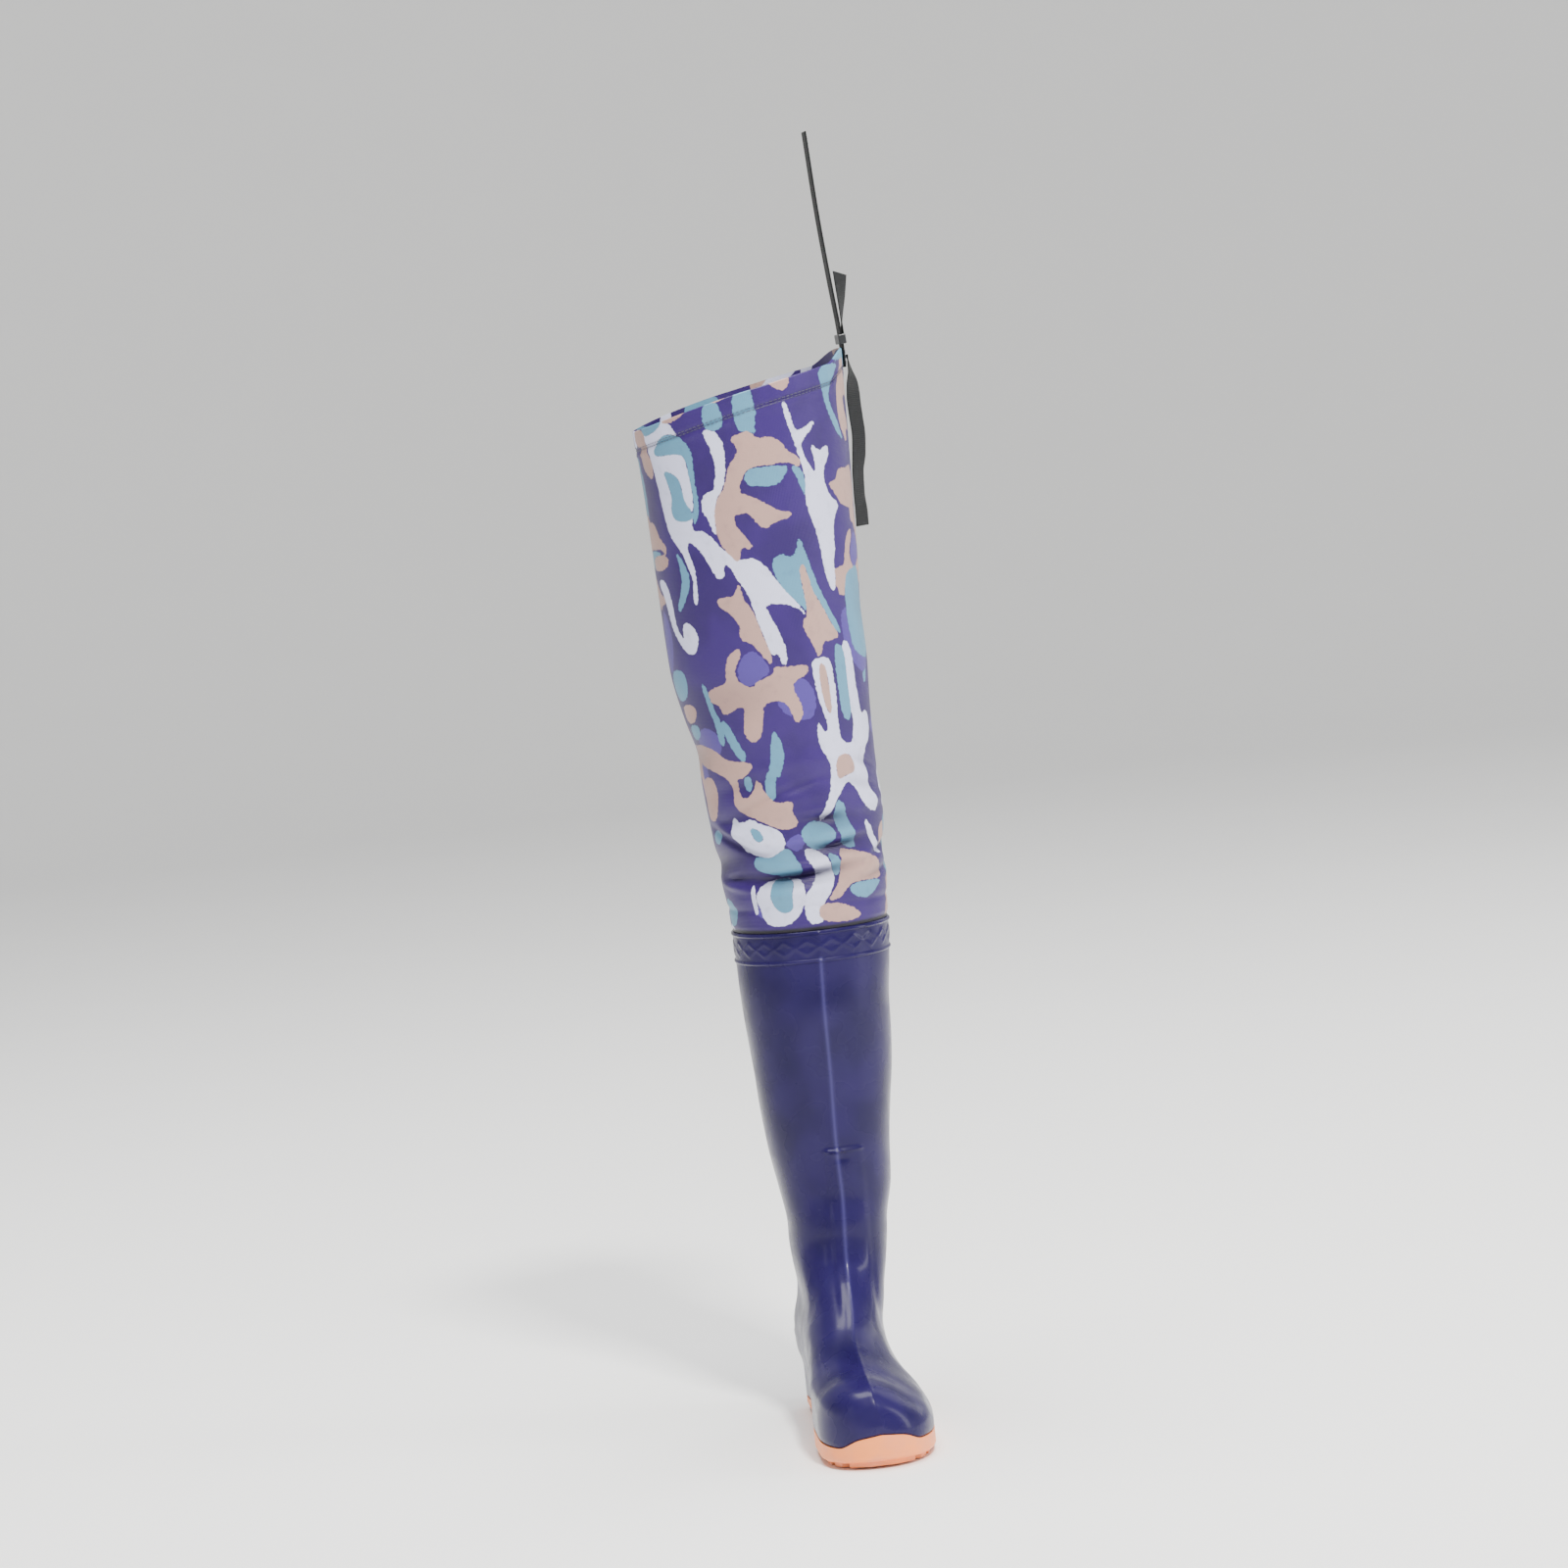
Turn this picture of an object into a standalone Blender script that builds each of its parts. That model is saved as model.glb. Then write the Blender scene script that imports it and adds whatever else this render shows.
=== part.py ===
"""Left hip wader: a moulded PVC knee boot with a fabric thigh shaft and a belt strap.

Metres, +Z up. The toe points along -Y and the outer side of the leg is +X. The origin
is on the floor, at the middle of the heel bar that lies under the ankle.
"""

import math

import bmesh
import bpy
from mathutils import Matrix, Vector

# Foot: the boot's outer face over the last
LAST_LENGTH = 0.290
HEEL_REACH = 0.0435
BALL_WIDTH = 0.0955
TOE_HEIGHT = 0.066
INSTEP_HEIGHT = 0.150
WIDEST_HEIGHT = 0.026
TOE_ROUND = 0.060
TOE_FULL = 2.3
HEEL_ROUND = 0.036

# Boot shaft
BOOT_HEIGHT = 0.4045
ANKLE_WIDTH = 0.072
SHAFT_WIDTH = 0.1285
SHAFT_DEPTH = 0.1255
PVC_WALL = 0.0026
FRONT_RIDGE = 0.0010

# Collar band, between two raised rings at the top of the boot
BAND_HEIGHT = 0.0225
RING_HEIGHT = 0.0036
RING_PROUD = 0.0012
RING_SLOPE = 0.0012

# Fabric thigh shaft
RIM_HEIGHT = 0.860
RIM_DROP = 0.041
RIM_BOW = 0.003
PEAK_RISE = 0.009
PEAK_START = 0.76
THIGH_WIDTH = 0.176
THIGH_DEPTH = 0.190
FABRIC_WALL = 0.0012
LAP_HEIGHT = 0.018
HEM_HEIGHT = 0.018
HEM_PROUD = 0.0006

# Sole
LIP_WALL = 0.0013
EDGE_HEIGHT = 0.0330
EDGE_STEP = 0.0020
HEEL_SEAT = 0.0200
LUG_DEPTH = 0.0040
LUG_LENGTH = 0.0100
LUG_MARGIN = 0.0046
LUG_END = 0.0012
LUG_ROOT = 0.0020
HEEL_LUGS = range(-1, 3)
BALL_LUGS = 7
SOLE_EDGE_ROUND = 0.0035
INSOLE_WALL = 0.0030

# Webbing strap with its slide
WEB_WIDTH = 0.025
WEB_WALL = 0.0014
STRAP_WALL = 0.0020
STRAP_RISE = 0.176
STRAP_LEAN = 0.013
STRAP_SEWN = 0.016
SLIDE_HEIGHT = 0.008
SLIDE_RIM = 0.0018
SLIDE_RISE = 0.0068
SLIDE_ROUND = 0.0008
FLAP_LENGTH = 0.048
FLAP_REACH = 0.0010
FLAP_TWIST = math.radians(24)
FLAP_DROP = math.radians(9)
TAIL_START = 0.006
TAIL_LENGTH = 0.140
TAIL_BACK = 0.014
TAIL_STAND = 0.0028
TAIL_TWIST = math.radians(32)

# Clearance between pieces that meet
GAP = 0.0003

# Mesh fineness
HALF_POINTS = 20
FOOT_STEP = 0.0125
SHIN_STEP = 0.026
WALK_STEP = 0.0005
INNER_COARSER = 1.9
HALVINGS = 30
ROUND_ANGLES = (90, 58, 28, 0)
SHARP_ANGLE = math.radians(40)
THIGH_ROWS = 17
THIGH_CROWDING = 1.35
THIGH_INNER_ROWS = 11
STRAP_ROWS = 8
FLAP_ROWS = 6
TAIL_ROWS = 14


class Table:
    """Rows of shares under named columns; the first column is the place."""

    def __init__(self, names, rows):
        self.columns = dict(zip(names.split(), zip(*rows)))
        self.places = self.columns[names.split()[0]]

    def at(self, name, place):
        """The column's value at a place, on a smooth curve that never overshoots."""
        xs = self.places
        ys = self.columns[name]
        if place <= xs[0]:
            return ys[0]
        if place >= xs[-1]:
            return ys[-1]
        i = max(k for k in range(len(xs) - 1) if xs[k] <= place)
        width = xs[i + 1] - xs[i]
        t = (place - xs[i]) / width
        start = self.slope(ys, i) * width
        end = self.slope(ys, i + 1) * width
        rise = ys[i + 1] - ys[i]
        return ys[i] + t * (start + t * (3 * rise - 2 * start - end + t * (start + end - 2 * rise)))

    def slope(self, ys, i):
        """Slope at row i: flat at a peak or an end, else the harmonic mean of its sides."""
        xs = self.places
        if i in (0, len(xs) - 1):
            k = min(i, len(xs) - 2)
            return (ys[k + 1] - ys[k]) / (xs[k + 1] - xs[k])
        before = (ys[i] - ys[i - 1]) / (xs[i] - xs[i - 1])
        after = (ys[i + 1] - ys[i]) / (xs[i + 1] - xs[i])
        if before * after <= 0:
            return 0.0
        return 2 * before * after / (before + after)


# Half-widths at the widest line, as shares of BALL_WIDTH, along the last from the heel
PLAN = Table("place medial lateral centre", [
    (0.00, 0.345, 0.345, 0.000),
    (0.15, 0.350, 0.352, 0.000),
    (0.33, 0.345, 0.370, 0.008),
    (0.48, 0.385, 0.430, 0.020),
    (0.61, 0.450, 0.485, 0.026),
    (0.71, 0.495, 0.500, 0.026),
    (0.80, 0.490, 0.485, 0.022),
    (0.90, 0.485, 0.470, 0.012),
    (1.00, 0.480, 0.450, 0.008),
])

# Top line of the foot along the last: TOE_HEIGHT times toe plus INSTEP_HEIGHT times instep
CREST = Table("place toe instep", [
    (0.00, 0.00, 6.00),
    (0.30, 0.00, 3.00),
    (0.35, 0.00, 1.85),
    (0.385, 0.00, 1.27),
    (0.415, 0.00, 1.00),
    (0.46, 0.12, 0.775),
    (0.52, 0.35, 0.530),
    (0.60, 0.68, 0.275),
    (0.68, 0.88, 0.115),
    (0.76, 0.98, 0.036),
    (0.85, 1.00, 0.000),
    (0.92, 0.955, 0.000),
    (0.96, 0.885, 0.000),
    (0.985, 0.755, 0.000),
    (1.00, 0.515, 0.000),
])

# Boot shaft up BOOT_HEIGHT: width runs from ANKLE_WIDTH to SHAFT_WIDTH, the centre is a
# share of SHAFT_WIDTH, the front and back of SHAFT_DEPTH, and the heel of HEEL_REACH
BOOT = Table("place width centre front heel back", [
    (0.050, 0.00, 0.000, -0.558, 1.000, 0.000),
    (0.085, 0.00, 0.000, -0.558, 1.000, 0.000),
    (0.130, 0.00, -0.036, -0.558, 0.980, 0.000),
    (0.190, 0.00, -0.034, -0.558, 0.890, 0.000),
    (0.250, 0.10, 0.004, -0.558, 0.820, 0.000),
    (0.3075, 0.19, 0.020, -0.558, 0.805, 0.000),
    (0.3875, 0.16, 0.034, -0.555, 0.837, 0.000),
    (0.470, 0.34, 0.047, -0.524, 0.500, 0.155),
    (0.550, 0.50, 0.043, -0.511, 0.200, 0.305),
    (0.630, 0.63, 0.047, -0.514, 0.000, 0.414),
    (0.710, 0.73, 0.054, -0.522, 0.000, 0.446),
    (0.830, 0.87, 0.056, -0.529, 0.000, 0.472),
    (0.950, 0.97, 0.068, -0.526, 0.000, 0.478),
    (1.000, 1.00, 0.071, -0.523, 0.000, 0.478),
])

# Thigh shaft from the collar to RIM_HEIGHT: width and depth run from the boot's to the
# thigh's, the centre is a share of SHAFT_WIDTH and the lean a share of THIGH_DEPTH
THIGH = Table("place width depth centre lean", [
    (0.00, 0.00, 0.00, 0.071, -0.014),
    (0.03, 0.03, 0.02, 0.071, -0.014),
    (0.10, 0.17, 0.12, 0.064, -0.014),
    (0.20, 0.27, 0.25, 0.050, -0.016),
    (0.31, 0.35, 0.38, 0.026, -0.020),
    (0.38, 0.48, 0.48, 0.003, -0.024),
    (0.48, 0.68, 0.62, -0.022, -0.028),
    (0.59, 0.74, 0.72, -0.029, -0.031),
    (0.69, 0.79, 0.80, -0.034, -0.034),
    (0.87, 0.92, 0.93, -0.043, -0.038),
    (1.00, 1.00, 1.00, -0.050, -0.040),
])

# Soft folds round the knee: height as a share of the thigh shaft, angle from the front
# (outer side positive), half-spans, depth as a share of SHAFT_WIDTH and tilt per radian
FOLD_NAMES = "height angle spread band depth tilt"
FOLDS = [
    (0.195, 20, 24, 0.024, -0.026, 0.010),
    (0.235, -5, 40, 0.026, 0.014, 0.010),
    (0.140, 22, 30, 0.022, -0.024, 0.020),
    (0.168, -28, 26, 0.024, 0.020, -0.030),
    (0.098, -22, 42, 0.020, -0.026, -0.012),
    (0.130, -78, 30, 0.022, -0.030, 0.020),
    (0.330, -88, 34, 0.040, -0.020, 0.000),
    (0.125, 92, 26, 0.022, -0.026, 0.020),
    (0.180, 118, 34, 0.026, 0.020, -0.020),
    (0.110, 168, 44, 0.024, -0.028, 0.010),
    (0.190, 196, 46, 0.026, -0.024, -0.010),
]

# Top edge of the sole round the foot, from the toe to the heel, as shares of EDGE_HEIGHT
WAVE = Table("place medial lateral", [
    (0.00, 0.83, 0.83),
    (0.07, 0.74, 0.76),
    (0.15, 0.53, 0.56),
    (0.24, 0.56, 0.54),
    (0.33, 0.60, 0.56),
    (0.44, 0.72, 0.66),
    (0.54, 0.90, 0.84),
    (0.66, 0.78, 0.76),
    (0.80, 0.74, 0.74),
    (0.90, 0.84, 0.84),
    (1.00, 1.00, 1.00),
])

# Sole along the last from the heel, as shares of HEEL_SEAT: underside between the lugs
# and the seat that carries the insole
SOLE = Table("place under seat", [
    (0.00, 0.00, 1.00),
    (0.24, 0.00, 1.00),
    (0.27, 0.04, 1.00),
    (0.31, 0.40, 0.98),
    (0.42, 0.36, 0.88),
    (0.52, 0.06, 0.70),
    (0.56, 0.00, 0.62),
    (0.72, 0.00, 0.55),
    (0.83, 0.00, 0.56),
    (0.92, 0.04, 0.60),
    (1.00, 0.14, 0.70),
])

# How full the foot is over the widest line, and the shaft round the leg
FULL = {"medial": 2.5, "lateral": 1.5}
LEG_FULL = 2.1
SIGN = {"medial": -1, "lateral": 1}

# Heights between which the foot's rings turn into the leg's, the foot's curved middle line
# straightens, and the middle moves to the leg's: shares of INSTEP_HEIGHT
ANKLE_BLEND = (0.62, 1.04)
CURVE_BLEND = (0.20, 0.667)
MIDDLE_BLEND = (0.173, 0.433)

# Where the fabric stands free of the lap and of the hem, as shares of their heights
LAP_TOP = 1.05
LAP_FREE = 1.4
LAP_FOLDED = 1.6
HEM_FOLDED = 2.0

# Belt strap above its sewn end: rise and lean from 0 at the rim to 1 at the top
STRAP = Table("place lean", [
    (0.00, 0.00),
    (0.10, 0.10),
    (0.35, 0.42),
    (0.65, 0.74),
    (1.00, 1.00),
])

# Hanging tail down its length: stand-off from the shaft, twist out of its face and how far
# it swings to the back, as shares of the sizes below
TAIL = Table("place stand twist back", [
    (0.00, 1.00, 0.10, 0.00),
    (0.09, 1.00, 0.40, 0.20),
    (0.17, 0.50, 0.85, 0.60),
    (0.26, 0.40, 1.00, 1.00),
    (0.36, 0.65, 1.00, 1.00),
    (0.46, 1.00, 1.00, 1.00),
    (0.58, 0.65, 1.00, 1.00),
    (0.69, 0.25, 0.86, 1.00),
    (0.81, 0.20, 0.84, 1.00),
    (0.92, 0.28, 0.92, 1.00),
    (1.00, 0.20, 0.94, 1.00),
])

# Flap over the slide: the free end of the webbing, turned out of the strap's plane
FLAP = Table("place reach twist drop", [
    (0.00, 0.00, 0.05, 0.00),
    (0.25, 0.10, 0.25, 0.10),
    (0.60, 0.50, 0.62, 0.45),
    (1.00, 1.00, 1.00, 1.00),
])


def blended(shares, height):
    """How far a height is through a blend whose ends are shares of INSTEP_HEIGHT."""
    return smooth(shares[0] * INSTEP_HEIGHT, shares[1] * INSTEP_HEIGHT, height)


def mix(a, b, t):
    """The value or point that is t of the way from a to b."""
    return a + (b - a) * t


def smooth(start, end, value):
    """A soft step from 0 at start to 1 at end."""
    t = min(max((value - start) / (end - start), 0.0), 1.0)
    return t * t * (3 - 2 * t)


def along(y):
    """Share of the last's length from the heel at y."""
    return (HEEL_REACH - y) / LAST_LENGTH


def crest(y):
    """Height of the foot's top line at y."""
    place = along(y)
    return TOE_HEIGHT * CREST.at("toe", place) + INSTEP_HEIGHT * CREST.at("instep", place)


def crest_front(height):
    """The y at which the foot's top line reaches a height."""
    toe_tip = HEEL_REACH - LAST_LENGTH
    near, far = toe_tip, HEEL_REACH
    if height <= crest(near):
        return near
    for _ in range(HALVINGS):
        middle = (near + far) / 2
        if crest(middle) < height:
            near = middle
        else:
            far = middle
    return (near + far) / 2


def leg(height):
    """Half-width, centre, front and back of the leg at a height."""
    if height <= BOOT_HEIGHT:
        place = height / BOOT_HEIGHT
        width = mix(ANKLE_WIDTH, SHAFT_WIDTH, BOOT.at("width", place))
        centre = SHAFT_WIDTH * BOOT.at("centre", place)
        front = SHAFT_DEPTH * BOOT.at("front", place)
        back = HEEL_REACH * BOOT.at("heel", place) + SHAFT_DEPTH * BOOT.at("back", place)
        return width / 2, centre, front, back
    place = (height - BOOT_HEIGHT) / (RIM_HEIGHT - BOOT_HEIGHT)
    width = mix(SHAFT_WIDTH, THIGH_WIDTH, THIGH.at("width", place))
    depth = mix(SHAFT_DEPTH, THIGH_DEPTH, THIGH.at("depth", place))
    centre = SHAFT_WIDTH * THIGH.at("centre", place)
    lean = THIGH_DEPTH * (THIGH.at("lean", place) - THIGH.at("lean", 0.0))
    collar_middle = SHAFT_DEPTH * (BOOT.at("front", 1.0) + BOOT.at("back", 1.0)) / 2
    return width / 2, centre, collar_middle + lean - depth / 2, collar_middle + lean + depth / 2


def foot_point(share, side, height, inset):
    """A point of the foot's ring: share runs from the toe at 0 to the heel at 1."""
    toe_tip = HEEL_REACH - LAST_LENGTH + inset
    front = crest_front(height) + inset
    if inset > 0:
        front = max(front, crest_front(height + inset))
    back = HEEL_REACH * BOOT.at("heel", height / BOOT_HEIGHT) - inset
    y = mix(front, back, (1 - math.cos(math.pi * share)) / 2)
    half = BALL_WIDTH * PLAN.at(side, along(y)) - inset
    toe_left = min((y - toe_tip) / TOE_ROUND, 1.0)
    heel_left = min((back - y) / HEEL_ROUND, 1.0)
    half *= max(1 - (1 - toe_left) ** TOE_FULL, 0.0) ** (1 / TOE_FULL)
    half *= math.sqrt(max(1 - (1 - heel_left) ** 2, 0.0))
    if height > WIDEST_HEIGHT:
        top = min(crest(y) - inset, crest(y - inset))
        rise = min((height - WIDEST_HEIGHT) / max(top - WIDEST_HEIGHT, 1e-6), 1.0)
        half *= (1 - rise ** FULL[side]) ** (1 / FULL[side])
    if share in (0, 1):
        half = 0.0
    leg_middle = leg(height)[1] * blended(MIDDLE_BLEND, height)
    foot_middle = BALL_WIDTH * PLAN.at("centre", along(y)) * (1 - blended(CURVE_BLEND, height))
    return Vector((foot_middle + leg_middle + SIGN[side] * half, y, height))


def leg_point(share, side, height, inset):
    """A point of the leg's ring: share runs from the shin at 0 to the calf at 1."""
    half, centre, front, back = leg(height)
    turn = math.cos(math.pi * share)
    y = mix(front + inset, back - inset, (1 - turn) / 2)
    across = max(1 - abs(turn) ** LEG_FULL, 0.0) ** (1 / LEG_FULL)
    return Vector((centre + SIGN[side] * (half - inset) * across, y, height))


def ring(place):
    """Points round the boot from the front: out along the lateral side, back on the other."""
    steps = range(HALF_POINTS)
    lateral = [place(i / HALF_POINTS, "lateral") for i in steps]
    medial = [place(1 - i / HALF_POINTS, "medial") for i in steps]
    return lateral + medial


def boot_ring(height, inset):
    """A level ring of the boot, set in from its outer face."""
    blend = blended(ANKLE_BLEND, height)

    def place(share, side):
        if blend >= 1:
            point = leg_point(share, side, height, inset)
        elif blend <= 0:
            point = foot_point(share, side, height, inset)
        else:
            foot = foot_point(share, side, height, inset)
            point = mix(foot, leg_point(share, side, height, inset), blend)
        if share == 0 and inset <= 0:
            point.y -= FRONT_RIDGE * smooth(WIDEST_HEIGHT, TOE_HEIGHT, height)
        return point

    return ring(place)


def sole_ring(height_of, inset):
    """A ring on the sole's outline, whose height is a function of y, share and side."""

    def place(share, side):
        point = foot_point(share, side, WIDEST_HEIGHT, inset)
        point.z = height_of(point.y, share, side)
        return point

    return ring(place)


def seat(y):
    """Height of the sole's inner floor."""
    return HEEL_SEAT * SOLE.at("seat", along(y))


def underside(y):
    """Height of the sole's underside between its lugs."""
    return LUG_DEPTH + HEEL_SEAT * SOLE.at("under", along(y))


def edge(share, side):
    """Height of the sole's waved top edge at a share of the ring."""
    return EDGE_HEIGHT * WAVE.at(side, share)


def tuck():
    """How far the boot draws in to stand inside the sole's lip, flush with its outside."""
    return GAP + LIP_WALL


def foot_rings(inset, level):
    """The boot's rings from its bottom edge over the sole's waved edge up to a level."""
    drawn_in = inset + tuck()
    bottom = sole_ring(lambda y, share, side: seat(y) + GAP, drawn_in)
    under_edge = sole_ring(lambda y, share, side: edge(share, side) + GAP, drawn_in)
    over_edge = sole_ring(lambda y, share, side: edge(share, side) + EDGE_STEP, inset)

    def rising(share, side):
        return foot_point(share, side, mix(edge(share, side) + EDGE_STEP, level, 0.5), inset)

    return [bottom, under_edge, over_edge, ring(rising)]


def levels(start, end, coarser=1.0):
    """Heights from start to end, spaced evenly along the boot's front line."""
    found = []
    height = start
    walked = 0.0
    reach = crest_front(start)
    while height < end - WALK_STEP:
        step = (FOOT_STEP if height < INSTEP_HEIGHT else SHIN_STEP) * coarser
        height += WALK_STEP
        moved = min(crest_front(height) - reach, step)
        reach = crest_front(height)
        walked += math.hypot(moved, WALK_STEP) if height < INSTEP_HEIGHT else WALK_STEP
        if walked >= step:
            found.append(height)
            walked = 0.0
    return found


def loft(name, rings, closed=False, capped=False):
    """A body through rings of equal point counts, closed on itself or capped at both ends."""
    mesh = bmesh.new()
    rows = [[mesh.verts.new(point) for point in points] for points in rings]
    count = len(rows[0])
    pairs = list(zip(rows, rows[1:]))
    if closed:
        pairs.append((rows[-1], rows[0]))
    for low, high in pairs:
        for i in range(count):
            k = (i + 1) % count
            mesh.faces.new((low[i], low[k], high[k], high[i]))
    if capped:
        for row in (rows[0], rows[-1]):
            ladder(mesh, row)
    bmesh.ops.recalc_face_normals(mesh, faces=mesh.faces)
    return add_object(name, mesh)


def ladder(mesh, row):
    """A cap of rungs across a ring, from its front point to its back point."""
    count = len(row)
    mesh.faces.new((row[0], row[1], row[-1]))
    for i in range(1, count // 2 - 1):
        mesh.faces.new((row[i], row[i + 1], row[count - i - 1], row[count - i]))
    middle = count // 2
    mesh.faces.new((row[middle - 1], row[middle], row[middle + 1]))


def add_object(name, mesh):
    """An object of the wader made from a working mesh."""
    data = bpy.data.meshes.new(name)
    mesh.to_mesh(data)
    mesh.free()
    made = bpy.data.objects.new(name, data)
    PARTS.objects.link(made)
    return made


def finish(made, material):
    """Shade a piece smooth up to SHARP_ANGLE and give it its material."""
    made.data.shade_smooth()
    made.data.set_sharp_from_angle(angle=SHARP_ANGLE)
    made.data.materials.append(material)
    return made


def material(name, colour, roughness, coat=0.0):
    """A plain surface of one colour."""
    made = bpy.data.materials.new(name)
    made.use_nodes = True
    shader = made.node_tree.nodes["Principled BSDF"]
    shader.inputs["Base Color"].default_value = (*colour, 1.0)
    shader.inputs["Roughness"].default_value = roughness
    shader.inputs["Metallic"].default_value = 0.0
    shader.inputs["Coat Weight"].default_value = coat
    return made


def build_boot(pvc):
    """The boot: one hollow moulding, open under the foot and at its collar."""
    band_foot = BOOT_HEIGHT - BAND_HEIGHT - RING_HEIGHT
    level = EDGE_HEIGHT + 2 * EDGE_STEP
    outer = foot_rings(0.0, level) + [boot_ring(level, 0.0)]
    outer += [boot_ring(height, 0.0) for height in levels(level, band_foot - SHIN_STEP / 2)]
    for foot in (band_foot, BOOT_HEIGHT - RING_HEIGHT):
        top = foot + RING_HEIGHT
        outer.append(boot_ring(foot, 0.0))
        outer.append(boot_ring(foot + RING_SLOPE, -RING_PROUD))
        outer.append(boot_ring(top if top == BOOT_HEIGHT else top - RING_SLOPE, -RING_PROUD))
        if top < BOOT_HEIGHT - GAP:
            outer.append(boot_ring(top, 0.0))
    neck = FABRIC_WALL + GAP
    neck_top = BOOT_HEIGHT + LAP_HEIGHT
    outer.append(boot_ring(BOOT_HEIGHT, neck))
    outer.append(boot_ring(neck_top, neck))
    liner = PVC_WALL + neck
    inner = [boot_ring(neck_top, liner), boot_ring(BOOT_HEIGHT - BAND_HEIGHT, liner)]
    inner_levels = [level] + levels(level, BOOT_HEIGHT - 2 * SHIN_STEP, INNER_COARSER)
    inner += [boot_ring(height, PVC_WALL) for height in reversed(inner_levels)]
    inner += reversed(foot_rings(PVC_WALL, level))
    return finish(loft("boot_upper", outer + inner, closed=True), pvc)


def rim(across):
    """Height of the fabric's top edge, across from -1 on the inner side to 1 at the peak."""
    slope = RIM_HEIGHT - RIM_DROP * (1 - across) / 2
    return slope + RIM_BOW * (1 - across * across) + PEAK_RISE * smooth(PEAK_START, 1.0, across)


def fold(place, angle):
    """How far the fabric stands out at a share of the shaft's height and an angle."""
    total = 0.0
    for row in FOLDS:
        crease = dict(zip(FOLD_NAMES.split(), row))
        turn = (angle - math.radians(crease["angle"]) + math.pi) % (2 * math.pi) - math.pi
        rise = (place - crease["height"] - crease["tilt"] * turn) / crease["band"]
        spread = turn / math.radians(crease["spread"])
        total += crease["depth"] * math.exp(-rise * rise - spread * spread)
    return total * SHAFT_WIDTH


def thigh_ring(share, inset):
    """A ring of the fabric shaft: share runs from its lower edge to its rim."""
    foot = BOOT_HEIGHT + GAP

    def place(turn, side):
        angle = SIGN[side] * math.pi * turn
        height = mix(foot, rim(math.sin(angle)), share)
        clear = smooth(LAP_HEIGHT, LAP_FOLDED * LAP_HEIGHT, height - foot)
        clear *= smooth(0, HEM_FOLDED * HEM_HEIGHT, rim(math.sin(angle)) - height)
        out = clear * fold((height - BOOT_HEIGHT) / (RIM_HEIGHT - BOOT_HEIGHT), angle)
        return leg_point(turn, side, height, inset - out)

    return ring(place)


def thigh_shares(rows):
    """Shares up the shaft, closer together where the folds are."""
    return [(i / rows) ** THIGH_CROWDING for i in range(1, rows)]


def build_thigh(fabric):
    """The thigh shaft: one hollow sleeve, lapped over the boot's neck and hemmed."""
    length = RIM_HEIGHT - BOOT_HEIGHT
    lap = LAP_HEIGHT / length
    hem = 1 - HEM_HEIGHT / length
    step = HEM_PROUD / length
    outer = [0.0, lap * LAP_TOP]
    outer += [s for s in thigh_shares(THIGH_ROWS) if lap * LAP_FREE < s < hem - 2 * step]
    rings = [thigh_ring(share, 0.0) for share in outer]
    rings += [thigh_ring(hem, 0.0), thigh_ring(hem + step, -HEM_PROUD), thigh_ring(1.0, -HEM_PROUD)]
    inner = [1.0] + [s for s in reversed(thigh_shares(THIGH_INNER_ROWS)) if s > lap * LAP_FREE]
    inner += [lap * LAP_TOP, 0.0]
    rings += [thigh_ring(share, FABRIC_WALL) for share in inner]
    return finish(loft("thigh_shaft", rings, closed=True), fabric)


def build_sole(pvc):
    """The sole: a tray with a waved edge, a heel, an arch and bars across its underside."""

    def rounded(turn):
        lift = SOLE_EDGE_ROUND * (1 - math.sin(turn))
        inset = SOLE_EDGE_ROUND * (1 - math.cos(turn))
        return sole_ring(lambda y, share, side: underside(y) + lift, inset)

    rings = [rounded(math.radians(degrees)) for degrees in ROUND_ANGLES]
    rings.append(sole_ring(lambda y, share, side: edge(share, side), 0.0))
    rings.append(sole_ring(lambda y, share, side: edge(share, side), LIP_WALL))
    rings.append(sole_ring(lambda y, share, side: seat(y), LIP_WALL))
    sole = loft("outsole", rings, capped=True)
    lugs = build_lugs()
    union = sole.modifiers.new("lugs", "BOOLEAN")
    union.operation = "UNION"
    union.object = lugs
    return finish(sole, pvc)


def build_lugs():
    """Bars under the heel and the forefoot, each as wide as the sole allows."""
    mesh = bmesh.new()
    pitch = (HEEL_REACH - LUG_MARGIN - LUG_END - LUG_LENGTH / 2) / HEEL_LUGS[-1]
    toe_centre = HEEL_REACH - LAST_LENGTH + LUG_MARGIN + LUG_END + LUG_LENGTH / 2
    centres = [k * pitch for k in HEEL_LUGS]
    centres += [toe_centre + k * pitch for k in range(BALL_LUGS)]
    for centre in centres:
        corners = bmesh.ops.create_cube(mesh, size=1.0)["verts"]
        for corner in corners:
            y = centre + corner.co.y * LUG_LENGTH
            side = "lateral" if corner.co.x > 0 else "medial"
            x = lug_end(y, side)
            low = corner.co.z < 0
            z = underside(y) - LUG_DEPTH if low else underside(y) + LUG_ROOT
            corner.co = Vector((x, y, z))
    data = bpy.data.meshes.new("sole_lugs")
    mesh.to_mesh(data)
    mesh.free()
    lugs = bpy.data.objects.new("sole_lugs", data)
    CUTTERS.objects.link(lugs)
    lugs.hide_render = True
    lugs.display_type = "WIRE"
    return lugs


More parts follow.
